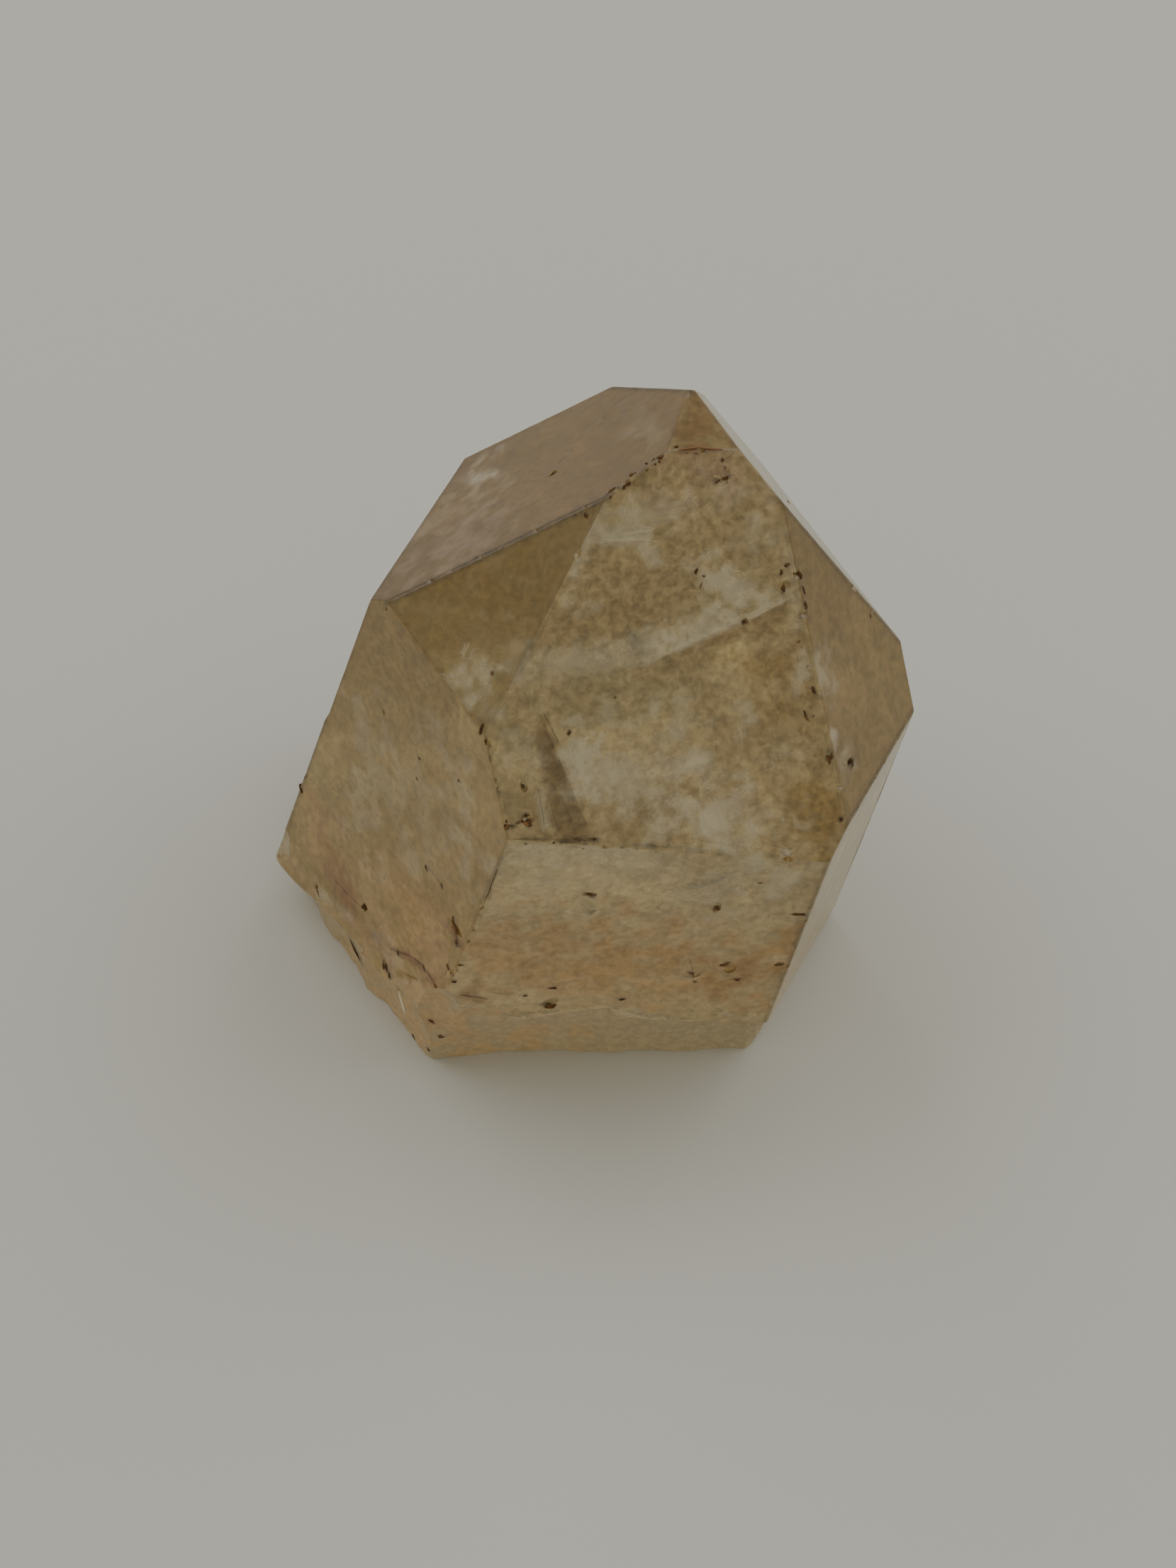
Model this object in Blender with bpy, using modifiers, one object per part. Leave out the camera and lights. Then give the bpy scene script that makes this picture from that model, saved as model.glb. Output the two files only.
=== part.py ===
"""Natural citrine crystal, modelled as one closed faceted solid.

It is a short quartz point: six prism faces, a sloping tip face over each of them and one small
facet at the very tip. The crystal broke off its root low down, and it stands on that break,
leaning to the right and back. Sizes below are in millimetres, angles in degrees.
"""

import math
import random
from dataclasses import dataclass

import bmesh
import bpy
from mathutils import Matrix, Vector, noise

MM = 0.001

# Habit: distance of each face from the crystal's centre, and its tilt from the long axis
FACE_STEP = 60.0
PRISM_DISTANCE = (12.45, 9.7, 10.55, 11.85, 9.85, 10.35)
PRISM_TILT = (88.0, 90.0, 90.0, 89.5, 90.0, 90.0)
TIP_DISTANCE = (15.7, 12.95, 15.95, 16.15, 18.45, 15.8)
TIP_TILT = (51.8, 51.8, 51.8, 51.8, 51.8, 53.0)
TOP_DISTANCE = 22.8
TOP_TURN = 140.0
TOP_TILT = 15.6

# Attitude on its base: how far the long axis leans, towards where, and the turn about it
LEAN = 14.9
LEAN_HEADING = 24.2
SPIN = -50.2
CENTRE_HEIGHT = 8.4

# Worn edges
EDGE_WEAR = 0.1
EDGE_WEAR_STEPS = 2
SHARP_ANGLE = 18.0

# The break round the foot
FRACTURE_COLUMNS = 200
FRACTURE_ROWS = (0.0, 0.1, 0.26, 0.45, 0.64, 0.82, 0.94)
FRACTURE_CURVE = 0.72
RIM_OVERLAP = 0.02
RIM_JAG = 0.12
RIM_JAG_PITCH = 9.0
RIM_JAG_LAYER = 0.3
WALL_BOW = 0.15
SCAR_WIDTH = 6.0
RIPPLE_LENGTH = 1.5
RIPPLE_HEIGHT = 0.03
GRAIN_AROUND = 11.0
GRAIN_UP = 1.3
GRAIN_SHARE = 2.0
CLEAR_ABOVE_RIM = ((0.3, 0.5), (5.0, 4.0))
BLOCK_TOP = 36.0
BLOCK_MARGIN = 12.0
BODY_BLOCK = 90.0
BODY_FOOT = 1.0
FACING_WALL = 0.05
SAME_FACE = 0.999

# Turned cutters for single flakes
FLAKE_SIDES = 30
FLAKE_RINGS = 9
FLAKE_REACH = 1.5
FLAKE_RIPPLE = 0.006
FLAKE_TURNS = 4.0

# Seeded wear on the edges that the named chips below don't reach
WEAR_SEED = 11
WEAR_SPACING = 2.6
WEAR_RADIUS = (0.14, 0.34)
WEAR_SPAN = (0.06, 0.94)
WEAR_RISE = (0.3, 0.7)
SHORTEST_WORN_EDGE = 2.5

# Shape of a chip, and the room each keeps round it
CHIP_RISE = 0.35
CHIP_LENGTH = (1.0, 1.7)
CHIP_FLATNESS = 0.9
CHIP_ROOM = 1.9
LUMP_JITTER = 0.16
LUMP_DETAIL = 1


@dataclass(frozen=True)
class Face:
    """One crystal face, given in the crystal's own axes."""

    name: str
    turn: float
    tilt: float
    distance: float

    def axes(self):
        """The outward normal, the level direction and the uphill direction, as it stands."""
        turn, tilt = math.radians(self.turn), math.radians(self.tilt)
        flat = math.sin(tilt)
        normal = Vector((flat * math.cos(turn), flat * math.sin(turn), math.cos(tilt)))
        level = Vector((0, 0, 1)).cross(normal).normalized()
        standing = attitude().to_3x3()
        return standing @ normal, standing @ level, standing @ normal.cross(level)

    def point(self, across, up):
        """A point on the face, in millimetres across and up from the foot of its normal."""
        normal, level, uphill = self.axes()
        return normal * self.distance + level * across + uphill * up


@dataclass(frozen=True)
class Scar:
    """One flake of the break round the foot, between two headings."""

    start: float
    end: float
    rim: tuple
    arch: float
    inset: tuple
    grain: float


@dataclass(frozen=True)
class Flake:
    """A shallow round scar, turned about its facing direction."""

    name: str
    at: tuple
    facing: tuple
    radius: float
    depth: float
    squash: float = 1.0


@dataclass(frozen=True)
class Ledge:
    """A growth step: beyond its line the face lies lower."""

    face: str
    across: float
    up: float
    heading: float
    drop: float


# Rim heights above the table and insets at the table, anticlockwise from the front left corner
SCARS = (
    Scar(-126.5, -84.5, (3.7, 5.1), 0.2, (1.3, 0.6), 0.04),
    Scar(-84.5, -66.0, (4.5, 3.4), -0.1, (0.6, 0.4), 0.03),
    Scar(-66.0, -48.5, (3.4, 2.7), 0.05, (0.4, 0.3), 0.03),
    Scar(-48.5, -10.0, (2.5, 0.45), -0.1, (0.45, 0.3), 0.05),
    Scar(-10.0, 24.0, (0.5, 1.9), 0.7, (0.4, 1.0), 0.07),
    Scar(24.0, 61.0, (1.5, 2.3), 0.9, (0.9, 1.1), 0.08),
    Scar(61.0, 98.0, (2.0, 3.1), 0.8, (1.1, 1.4), 0.08),
    Scar(98.0, 140.0, (2.7, 2.2), 1.0, (1.3, 1.5), 0.09),
    Scar(140.0, 180.0, (2.6, 2.1), 0.9, (1.6, 2.2), 0.08),
    Scar(180.0, 193.5, (2.0, 2.8), -0.3, (1.9, 1.05), 0.06),
    Scar(193.5, 210.0, (2.9, 3.3), 0.15, (1.1, 0.9), 0.08),
    Scar(210.0, 233.5, (3.2, 3.8), 0.1, (0.85, 1.2), 0.08),
)

# Larger flakes on the corners and faces, placed in millimetres from the crystal's centre
FLAKES = (
    Flake("front_left_corner", (-7.15, -10.6, -3.8), (-0.46, -0.86, 0.1), 3.4, 0.75),
    Flake("front_left_side", (-8.5, -8.9, -3.6), (-0.78, -0.58, 0.22), 2.0, 0.28, 1.3),
    Flake("front_left_face", (-5.4, -10.5, -4.2), (0.03, -0.99, 0.1), 2.3, 0.2, 0.62),
    Flake("left_tail", (-14.6, -0.6, -4.9), (-0.93, -0.3, 0.2), 1.7, 0.35),
    Flake("back_foot", (-3.2, 9.6, -4.2), (-0.1, 0.98, -0.15), 2.9, 0.5, 1.5),
    Flake("back_right_corner", (4.6, 9.6, -3.4), (0.42, 0.88, -0.18), 2.6, 0.6),
    Flake("back_left_corner", (-10.2, 8.8, -2.2), (-0.55, 0.82, 0.1), 2.4, 0.55),
    Flake("base_hollow", (5.6, 2.2, -8.4), (0.1, 0.06, -1.0), 3.4, 0.4, 1.3),
    Flake("base_hollow_left", (-7.4, 1.4, -8.4), (-0.08, 0.05, -1.0), 2.8, 0.32, 1.4),
)

LEDGES = (
    Ledge("m4", 2.0, -1.0, -84.0, 0.14),
    Ledge("m4", -4.5, 5.2, 100.0, 0.1),
    Ledge("m5", 3.6, 1.5, -60.0, 0.12),
    Ledge("m3", -1.0, 3.2, 74.0, 0.12),
    Ledge("r4", 1.5, 6.0, -120.0, 0.1),
)

# Chips on the edges that are seen best: the two faces, then how far up the edge and how big
EDGE_CHIPS = (
    ("r3", "r1", 0.3, 0.3),
    ("r3", "r1", 0.88, 0.3),
    ("r2", "r3", 0.9, 0.26),
    ("r2", "r3", 0.68, 0.2),
    ("r2", "r3", 0.3, 0.16),
    ("r1", "r0", 0.78, 0.28),
    ("r1", "r0", 0.66, 0.32),
    ("r1", "r0", 0.42, 0.22),
    ("r1", "r0", 0.12, 0.24),
    ("m2", "r1", 0.9, 0.34),
    ("m2", "r1", 0.5, 0.22),
    ("m2", "r1", 0.1, 0.28),
    ("m1", "r1", 0.86, 0.2),
    ("m1", "r1", 0.7, 0.26),
    ("m1", "r1", 0.13, 0.3),
    ("m1", "m0", 0.32, 0.4),
    ("m1", "m0", 0.5, 0.26),
    ("m1", "m0", 0.72, 0.2),
    ("m1", "m2", 0.74, 0.22),
    ("m2", "m3", 0.42, 0.34),
    ("m2", "m3", 0.8, 0.26),
    ("r1", "top", 0.5, 0.24),
    ("r0", "m0", 0.45, 0.26),
    ("r0", "m0", 0.85, 0.24),
)

# Small pits: the face, millimetres across and up it, radius, and length against width
PITS = (
    ("r1", -6.2, 3.3, 0.2, 1.6),
    ("r1", -5.8, 1.8, 0.3, 1.5),
    ("r1", 2.8, 11.7, 0.2, 1.2),
    ("r1", 4.3, 13.5, 0.22, 2.2),
    ("r1", 0.7, 18.0, 0.28, 1.8),
    ("r0", -2.4, 6.5, 0.18, 2.6),
    ("r0", -2.1, 3.7, 0.28, 1.4),
    ("r0", -0.9, 2.4, 0.28, 1.2),
    ("m1", 4.2, 4.5, 0.26, 1.6),
    ("m1", -1.9, 4.8, 0.2, 2.2),
    ("m1", 4.4, -1.1, 0.3, 1.7),
    ("m1", 6.1, -0.4, 0.3, 1.3),
    ("m1", -1.7, -4.1, 0.26, 2.2),
    ("m2", 4.1, 0.2, 0.3, 2.2),
    ("m2", 4.9, -2.5, 0.2, 1.2),
    ("m2", -1.3, -5.4, 0.22, 1.2),
    ("m2", -1.0, -8.2, 0.26, 3.2),
    ("m2", -4.6, -7.9, 0.2, 2.4),
    ("r3", -1.2, 9.2, 0.22, 1.8),
    ("m4", -3.0, 3.0, 0.3, 1.6),
    ("m4", 3.4, 7.0, 0.24, 1.4),
    ("m5", 1.8, 4.6, 0.26, 1.8),
    ("m3", 2.2, -0.5, 0.3, 1.5),
    ("r4", -2.0, 7.5, 0.24, 1.6),
    ("r5", 1.5, 9.0, 0.22, 1.4),
)
PIT_DEPTH = 0.6

COLOUR = (0.42, 0.3, 0.13, 1.0)
ROUGHNESS = 0.15
REFRACTION = 1.544
CLARITY = 0.85


def attitude():
    """The turn that takes the crystal's own axes to how it stands."""
    spin = Matrix.Rotation(math.radians(SPIN), 4, "Z")
    lean = Matrix.Rotation(math.radians(LEAN), 4, "Y")
    heading = Matrix.Rotation(math.radians(LEAN_HEADING), 4, "Z")
    return heading @ lean @ spin


def crystal_faces():
    """All faces by name: prism m0 to m5, tip faces r0 to r5 above them, and the top."""
    faces = {}
    for k in range(6):
        turn = -FACE_STEP * k
        faces[f"m{k}"] = Face(f"m{k}", turn, PRISM_TILT[k], PRISM_DISTANCE[k])
        faces[f"r{k}"] = Face(f"r{k}", turn, TIP_TILT[k], TIP_DISTANCE[k])
    faces["top"] = Face("top", TOP_TURN, TOP_TILT, TOP_DISTANCE)
    return faces


FACES = crystal_faces()
PRISM_WALLS = [(FACES[f"m{k}"].axes()[0], PRISM_DISTANCE[k]) for k in range(6)]


def collection(name):
    """A new collection in the scene."""
    made = bpy.data.collections.new(name)
    bpy.context.scene.collection.children.link(made)
    return made


def object_from(bm, name, home):
    """Turns a bmesh into an object in the given collection."""
    bm.normal_update()
    bmesh.ops.recalc_face_normals(bm, faces=bm.faces)
    mesh = bpy.data.meshes.new(name)
    bm.to_mesh(mesh)
    bm.free()
    made = bpy.data.objects.new(name, mesh)
    home.objects.link(made)
    return made


def as_cutter(obj):
    """Marks an object as a shape that only cuts."""
    obj.hide_render = True
    obj.display_type = "WIRE"
    return obj


def slice_off(bm, point, normal):
    """Cuts a closed bmesh with a plane, drops what lies outside and fills the cut."""
    everything = bm.verts[:] + bm.edges[:] + bm.faces[:]
    cut = bmesh.ops.bisect_plane(
        bm, geom=everything, dist=1e-8, plane_co=point, plane_no=normal, clear_outer=True
    )
    rim = [item for item in cut["geom_cut"] if isinstance(item, bmesh.types.BMEdge)]
    if rim:
        bmesh.ops.edgeloop_fill(bm, edges=rim)


def euhedral_body():
    """The whole crystal before any damage: a block cut by every crystal face."""
    bm = bmesh.new()
    bmesh.ops.create_cube(bm, size=BODY_BLOCK * MM)
    for face in FACES.values():
        normal = face.axes()[0]
        slice_off(bm, normal * face.distance * MM, normal)
    foot = Vector((0, 0, -(CENTRE_HEIGHT + BODY_FOOT) * MM))
    slice_off(bm, foot, Vector((0, 0, -1)))
    bmesh.ops.recalc_face_normals(bm, faces=bm.faces)
    return bm


def face_name_of(polygon):
    """The name of the crystal face that a polygon of the body lies on."""
    nearest = max(FACES.values(), key=lambda face: face.axes()[0].dot(polygon.normal))
    return nearest.name if nearest.axes()[0].dot(polygon.normal) > SAME_FACE else "foot"


def named_edges(bm):
    """Each edge of the body under its two faces' names, as (lower end, upper end)."""
    edges = {}
    for edge in bm.edges:
        names = frozenset(face_name_of(polygon) for polygon in edge.link_faces)
        ends = sorted((vert.co.copy() for vert in edge.verts), key=lambda co: co.z)
        edges[names] = tuple(ends)
    return edges


def prism_reach(azimuth, height):
    """Distance from the upright through the centre to the prism wall, in millimetres."""
    heading = Vector((math.cos(azimuth), math.sin(azimuth), 0))
    reaches = []
    for normal, distance in PRISM_WALLS:
        facing = normal.dot(heading)
        if facing > FACING_WALL:
            reaches.append((distance - normal.z * height) / facing)
    return min(reaches)


def scar_at(azimuth):
    """The scar at a heading, and how far along it that heading is."""
    degrees = math.degrees(azimuth)
    first = SCARS[0].start
    turned = (degrees - first) % 360.0 + first
    for scar in SCARS:
        if turned < scar.end:
            return scar, (turned - scar.start) / (scar.end - scar.start)
    return SCARS[-1], 1.0


def blend(pair, share):
    """A value between two, by its share of the way."""
    return pair[0] + (pair[1] - pair[0]) * share


def fracture_point(azimuth, row):
    """Where row number `row` of the fracture block lies at a heading, in millimetres."""
    scar, along = scar_at(azimuth)
    bow = 4.0 * along * (1.0 - along)
    spot = Vector((math.cos(azimuth), math.sin(azimuth), RIM_JAG_LAYER))
    jag = RIM_JAG * noise.noise(spot * RIM_JAG_PITCH)
    rim = blend(scar.rim, along) + scar.arch * bow + jag
    inset = blend(scar.inset, along) + WALL_BOW * bow
    table = -CENTRE_HEIGHT
    if row < len(FRACTURE_ROWS):
        share = FRACTURE_ROWS[row]
        height = table + rim * share
        cut = inset * (1.0 - share) ** FRACTURE_CURVE
        strike = math.hypot((along - 0.5) * SCAR_WIDTH, rim * share)
        ripple = RIPPLE_HEIGHT * math.sin(math.tau * strike / RIPPLE_LENGTH)
        spot = Vector((azimuth * GRAIN_AROUND, height * GRAIN_UP, inset))
        rough = GRAIN_SHARE * scar.grain * noise.noise(spot)
        radius = prism_reach(azimuth, height) - cut + (ripple + rough) * (1.0 - share)
        return radius - RIM_OVERLAP, height
    step = row - len(FRACTURE_ROWS)
    if step < len(CLEAR_ABOVE_RIM):
        rise, clearance = CLEAR_ABOVE_RIM[step]
        height = table + rim + rise
        return prism_reach(azimuth, height) + clearance, height
    return prism_reach(azimuth, BLOCK_TOP) + BLOCK_MARGIN, BLOCK_TOP


def fracture_block(home):
    """The block that the crystal is kept inside: its lower wall is the break, its foot flat."""
    rows = len(FRACTURE_ROWS) + len(CLEAR_ABOVE_RIM) + 1
    bm = bmesh.new()
    bmesh.ops.create_cone(
        bm, cap_ends=True, segments=FRACTURE_COLUMNS, radius1=1, radius2=1, depth=rows - 1
    )
    bottom = (1 - rows) / 2
    for row in range(1, rows - 1):
        everything = bm.verts[:] + bm.edges[:] + bm.faces[:]
        bmesh.ops.bisect_plane(
            bm, geom=everything, plane_co=(0, 0, bottom + row), plane_no=(0, 0, 1)
        )
    for vert in bm.verts:
        row = round(vert.co.z - bottom)
        azimuth = math.atan2(vert.co.y, vert.co.x)
        radius, height = fracture_point(azimuth, row)
        spot = Vector((radius * math.cos(azimuth), radius * math.sin(azimuth), height))
        vert.co = spot * MM
    return object_from(bm, "fracture_block", home)


def flake_cutter(flake, home):
    """A shallow bowl turned about the facing direction, closed well outside the crystal."""
    ball = (flake.radius**2 + flake.depth**2) / (2.0 * flake.depth)
    bm = bmesh.new()
    profile = []
    for ring in range(FLAKE_RINGS + 1):
        share = ring / FLAKE_RINGS * FLAKE_REACH
        reach = flake.radius * share
        ripple = FLAKE_RIPPLE * flake.radius * share * math.sin(FLAKE_TURNS * math.pi * share)
        level = (ball - flake.depth) - math.sqrt(ball**2 - reach**2) + ripple
        profile.append(bm.verts.new(Vector((reach, 0, level)) * MM))
    top = profile[-1].co.z + flake.radius * MM
    profile.append(bm.verts.new((profile[-1].co.x, 0, top)))
    profile.append(bm.verts.new((0, 0, top)))
    edges = [bm.edges.new(pair) for pair in zip(profile, profile[1:])]
    bmesh.ops.spin(
        bm, geom=profile + edges, axis=(0, 0, 1), cent=(0, 0, 0), angle=math.tau, steps=FLAKE_SIDES
    )
    bmesh.ops.remove_doubles(bm, verts=bm.verts, dist=1e-7)
    facing = Vector(flake.facing).normalized()
    turn = facing.to_track_quat("Z", "Y").to_matrix().to_4x4()
    stretch = Matrix.Diagonal((1.0, flake.squash, 1.0, 1.0))
    bm.transform(Matrix.Translation(Vector(flake.at) * MM) @ turn @ stretch)
    return object_from(bm, f"flake_{flake.name}", home)


def ledge_cutter(ledge, number, home):
    """A thin slab over the part of a face that lies beyond the ledge's line."""
    face = FACES[ledge.face]
    normal, level, uphill = face.axes()
    heading = math.radians(ledge.heading)
    ahead = level * math.cos(heading) + uphill * math.sin(heading)
    beside = normal.cross(ahead)
    edge = face.point(ledge.across, ledge.up) - normal * ledge.drop
    size = BODY_BLOCK * 0.5
    centre = edge + ahead * size / 2 + normal * size / 2
    turn = Matrix((ahead, beside, normal)).transposed().to_4x4()
    bm = bmesh.new()
    bmesh.ops.create_cube(bm, size=size * MM)
    bm.transform(Matrix.Translation(centre * MM) @ turn)
    return object_from(bm, f"ledge_{number}", home)


def lump(bm, at, facing, radius, length, flatness, draw):
    """Adds one irregular lump to a bmesh: a chip or a pit is where it meets the crystal."""
    turn = facing.to_track_quat("Z", "Y").to_matrix().to_4x4()
    roll = Matrix.Rotation(draw.uniform(0, math.pi), 4, "Z")
    shape = Matrix.Diagonal((radius * length, radius, radius * flatness, 1.0))
    place = Matrix.Translation(at) @ turn @ roll @ shape
    made = bmesh.ops.create_icosphere(bm, subdivisions=LUMP_DETAIL, radius=MM, matrix=place)
    for vert in made["verts"]:
        jitter = Vector([draw.uniform(-1, 1) for _ in range(3)])
        vert.co += jitter * radius * LUMP_JITTER * MM


def chip_cutter(edges, home):
    """All edge chips as one cutter: the named ones, then seeded wear on the other edges."""
    draw = random.Random(WEAR_SEED)
    taken = []
    bm = bmesh.new()

    def add(spot, facing, radius):
        near = [other for other, reach in taken if (other - spot).length < (reach + radius) * MM]
        if not near:
            taken.append((spot, radius * CHIP_ROOM))
            lump(bm, spot, facing, radius, draw.uniform(*CHIP_LENGTH), CHIP_FLATNESS, draw)

    def outward(names):
        return sum((FACES[name].axes()[0] for name in names), Vector()).normalized()

    for first, second, share, radius in EDGE_CHIPS:
        low, high = edges[frozenset((first, second))]
        facing = outward((first, second))
        add(low.lerp(high, share) + facing * radius * CHIP_RISE * MM, facing, radius)
    for names, (low, high) in sorted(edges.items(), key=lambda item: sorted(item[0])):
        length = (high - low).length / MM
        if "foot" in names or length < SHORTEST_WORN_EDGE:
            continue
        facing = outward(names)
        for _ in range(int(length / WEAR_SPACING)):
            radius = draw.uniform(*WEAR_RADIUS)
            spot = low.lerp(high, draw.uniform(*WEAR_SPAN))
            add(spot + facing * radius * draw.uniform(*WEAR_RISE) * MM, facing, radius)
    return object_from(bm, "edge_chips", home)


def pit_cutter(home):
    """All face pits as one cutter."""
    draw = random.Random(WEAR_SEED + 1)
    bm = bmesh.new()
    for name, across, up, radius, length in PITS:
        face = FACES[name]
        lump(bm, face.point(across, up) * MM, face.axes()[0], radius, length, PIT_DEPTH, draw)
    return object_from(bm, "face_pits", home)


def citrine():
    """The material: smoky golden quartz."""
    material = bpy.data.materials.new("citrine")
    material.use_nodes = True
    shader = material.node_tree.nodes["Principled BSDF"]
    shader.inputs["Base Color"].default_value = COLOUR
    shader.inputs["Roughness"].default_value = ROUGHNESS
    shader.inputs["Metallic"].default_value = 0.0
    shader.inputs["IOR"].default_value = REFRACTION
    shader.inputs["Transmission Weight"].default_value = CLARITY
    return material


def boolean(obj, operation, cutter):
    """Adds an exact Boolean with one cutter."""
    modifier = obj.modifiers.new(cutter.name, "BOOLEAN")
    modifier.operation = operation
    modifier.solver = "EXACT"
    modifier.object = as_cutter(cutter)


def stand_on_origin(parent, crystal):
    """Moves the whole assembly so that the crystal's foot is centred on the origin."""
    bpy.context.view_layer.update()
    graph = bpy.context.evaluated_depsgraph_get()
    corners = [Vector(corner) for corner in crystal.evaluated_get(graph).bound_box]
    low = Vector([min(corner[k] for corner in corners) for k in range(3)])
    high = Vector([max(corner[k] for corner in corners) for k in range(3)])
    parent.location = (-(low.x + high.x) / 2, -(low.y + high.y) / 2, -low.z)


def main():
    for old in list(bpy.data.objects):
        bpy.data.objects.remove(old, do_unlink=True)
    crystal_home = collection("natural_citrine_crystal")
    cutter_home = collection("cutters")
    cutter_home.hide_render = True

    body = euhedral_body()
    edges = named_edges(body)
    crystal = object_from(body, "citrine_crystal", crystal_home)
    crystal.data.materials.append(citrine())

    wear = crystal.modifiers.new("worn_edges", "BEVEL")
    wear.width = EDGE_WEAR * MM
    wear.segments = EDGE_WEAR_STEPS
    wear.limit_method = "ANGLE"
    wear.angle_limit = math.radians(SHARP_ANGLE)

    for number, ledge in enumerate(LEDGES):
        boolean(crystal, "DIFFERENCE", ledge_cutter(ledge, number, cutter_home))
    boolean(crystal, "INTERSECT", fracture_block(cutter_home))
    for flake in FLAKES:
        boolean(crystal, "DIFFERENCE", flake_cutter(flake, cutter_home))
    boolean(crystal, "DIFFERENCE", chip_cutter(edges, cutter_home))
    boolean(crystal, "DIFFERENCE", pit_cutter(cutter_home))

    stand = bpy.data.objects.new("stand", None)
    crystal_home.objects.link(stand)
    for obj in [crystal, *cutter_home.objects]:
        obj.parent = stand
    stand_on_origin(stand, crystal)


main()
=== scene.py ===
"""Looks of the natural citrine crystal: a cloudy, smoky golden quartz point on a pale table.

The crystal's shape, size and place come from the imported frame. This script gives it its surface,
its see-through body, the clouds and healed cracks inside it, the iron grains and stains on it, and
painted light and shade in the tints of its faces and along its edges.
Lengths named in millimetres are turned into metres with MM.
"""

import logging
import math
import random
from dataclasses import dataclass, field
from enum import Enum
from typing import Callable, Iterable

import bpy
import numpy as np
from mathutils import Matrix, Vector, kdtree, noise


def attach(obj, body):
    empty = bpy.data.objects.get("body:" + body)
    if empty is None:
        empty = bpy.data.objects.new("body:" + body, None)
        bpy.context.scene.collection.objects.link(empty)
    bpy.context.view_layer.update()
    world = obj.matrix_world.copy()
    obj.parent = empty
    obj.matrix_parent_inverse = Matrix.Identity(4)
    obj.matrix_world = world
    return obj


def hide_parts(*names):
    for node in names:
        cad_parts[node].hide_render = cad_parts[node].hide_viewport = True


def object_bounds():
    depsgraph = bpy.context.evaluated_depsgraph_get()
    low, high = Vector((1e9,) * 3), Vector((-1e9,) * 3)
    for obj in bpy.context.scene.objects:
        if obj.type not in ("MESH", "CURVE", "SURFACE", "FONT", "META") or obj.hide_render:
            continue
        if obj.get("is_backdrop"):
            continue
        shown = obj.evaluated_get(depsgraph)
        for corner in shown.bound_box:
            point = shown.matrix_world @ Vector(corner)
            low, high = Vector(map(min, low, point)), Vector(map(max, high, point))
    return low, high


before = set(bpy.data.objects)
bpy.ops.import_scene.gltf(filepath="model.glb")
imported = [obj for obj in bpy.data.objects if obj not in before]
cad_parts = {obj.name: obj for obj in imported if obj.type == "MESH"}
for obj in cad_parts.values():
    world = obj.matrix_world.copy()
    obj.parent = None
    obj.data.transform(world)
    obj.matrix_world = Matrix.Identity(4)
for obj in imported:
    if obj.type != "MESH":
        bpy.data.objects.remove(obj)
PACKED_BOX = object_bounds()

MM = 0.001
NODE = "citrine_crystal"
BODY = "root"
LOG = logging.getLogger("citrine")

Colour = tuple[float, float, float]


def rgba(colour: Colour) -> tuple[float, float, float, float]:
    """A colour with full alpha."""
    return (*colour, 1.0)


def within_one(value: float) -> float:
    """A number kept within 0 and 1."""
    return min(max(value, 0.0), 1.0)


def placed(name: str, data: bpy.types.ID) -> bpy.types.Object:
    """Puts a mesh, a lamp or a camera into the scene as a new object.

    Args:
        name: The object's name.
        data: What it shows.

    Returns:
        The object.
    """
    made = bpy.data.objects.new(name, data)
    bpy.context.scene.collection.objects.link(made)
    return made


def deselect_all() -> None:
    """Leaves nothing selected and no object active."""
    for obj in bpy.context.selected_objects:
        obj.select_set(False)
    bpy.context.view_layer.objects.active = None


def select_only(obj: bpy.types.Object) -> None:
    """Makes one object the only selected and active one."""
    deselect_all()
    obj.select_set(True)
    bpy.context.view_layer.objects.active = obj


def thicken(sheet: bpy.types.Object, thickness: float) -> None:
    """Gives a thin sheet its thickness.

    Args:
        sheet: The sheet.
        thickness: Its thickness in millimetres.
    """
    select_only(sheet)
    solid = sheet.modifiers.new("thickness", "SOLIDIFY")
    solid.thickness = thickness * MM
    bpy.ops.object.modifier_apply(modifier=solid.name)


@dataclass(frozen=True)
class Fractal:
    """A fractal pattern about 0: how smooth it is, how much finer each layer is, and its layers."""

    dimension: float
    ratio: float
    layers: int

    def at(self, spot: Vector) -> float:
        """Its value at a spot, with about one unit from wave to wave."""
        return noise.fractal(
            spot, self.dimension, self.ratio, self.layers, noise_basis="PERLIN_ORIGINAL"
        )


@dataclass(frozen=True)
class Facet:
    """One crystal face: its turn about the long axis, tilt from it and distance from the centre."""

    turn: float
    tilt: float
    distance: float


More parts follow.
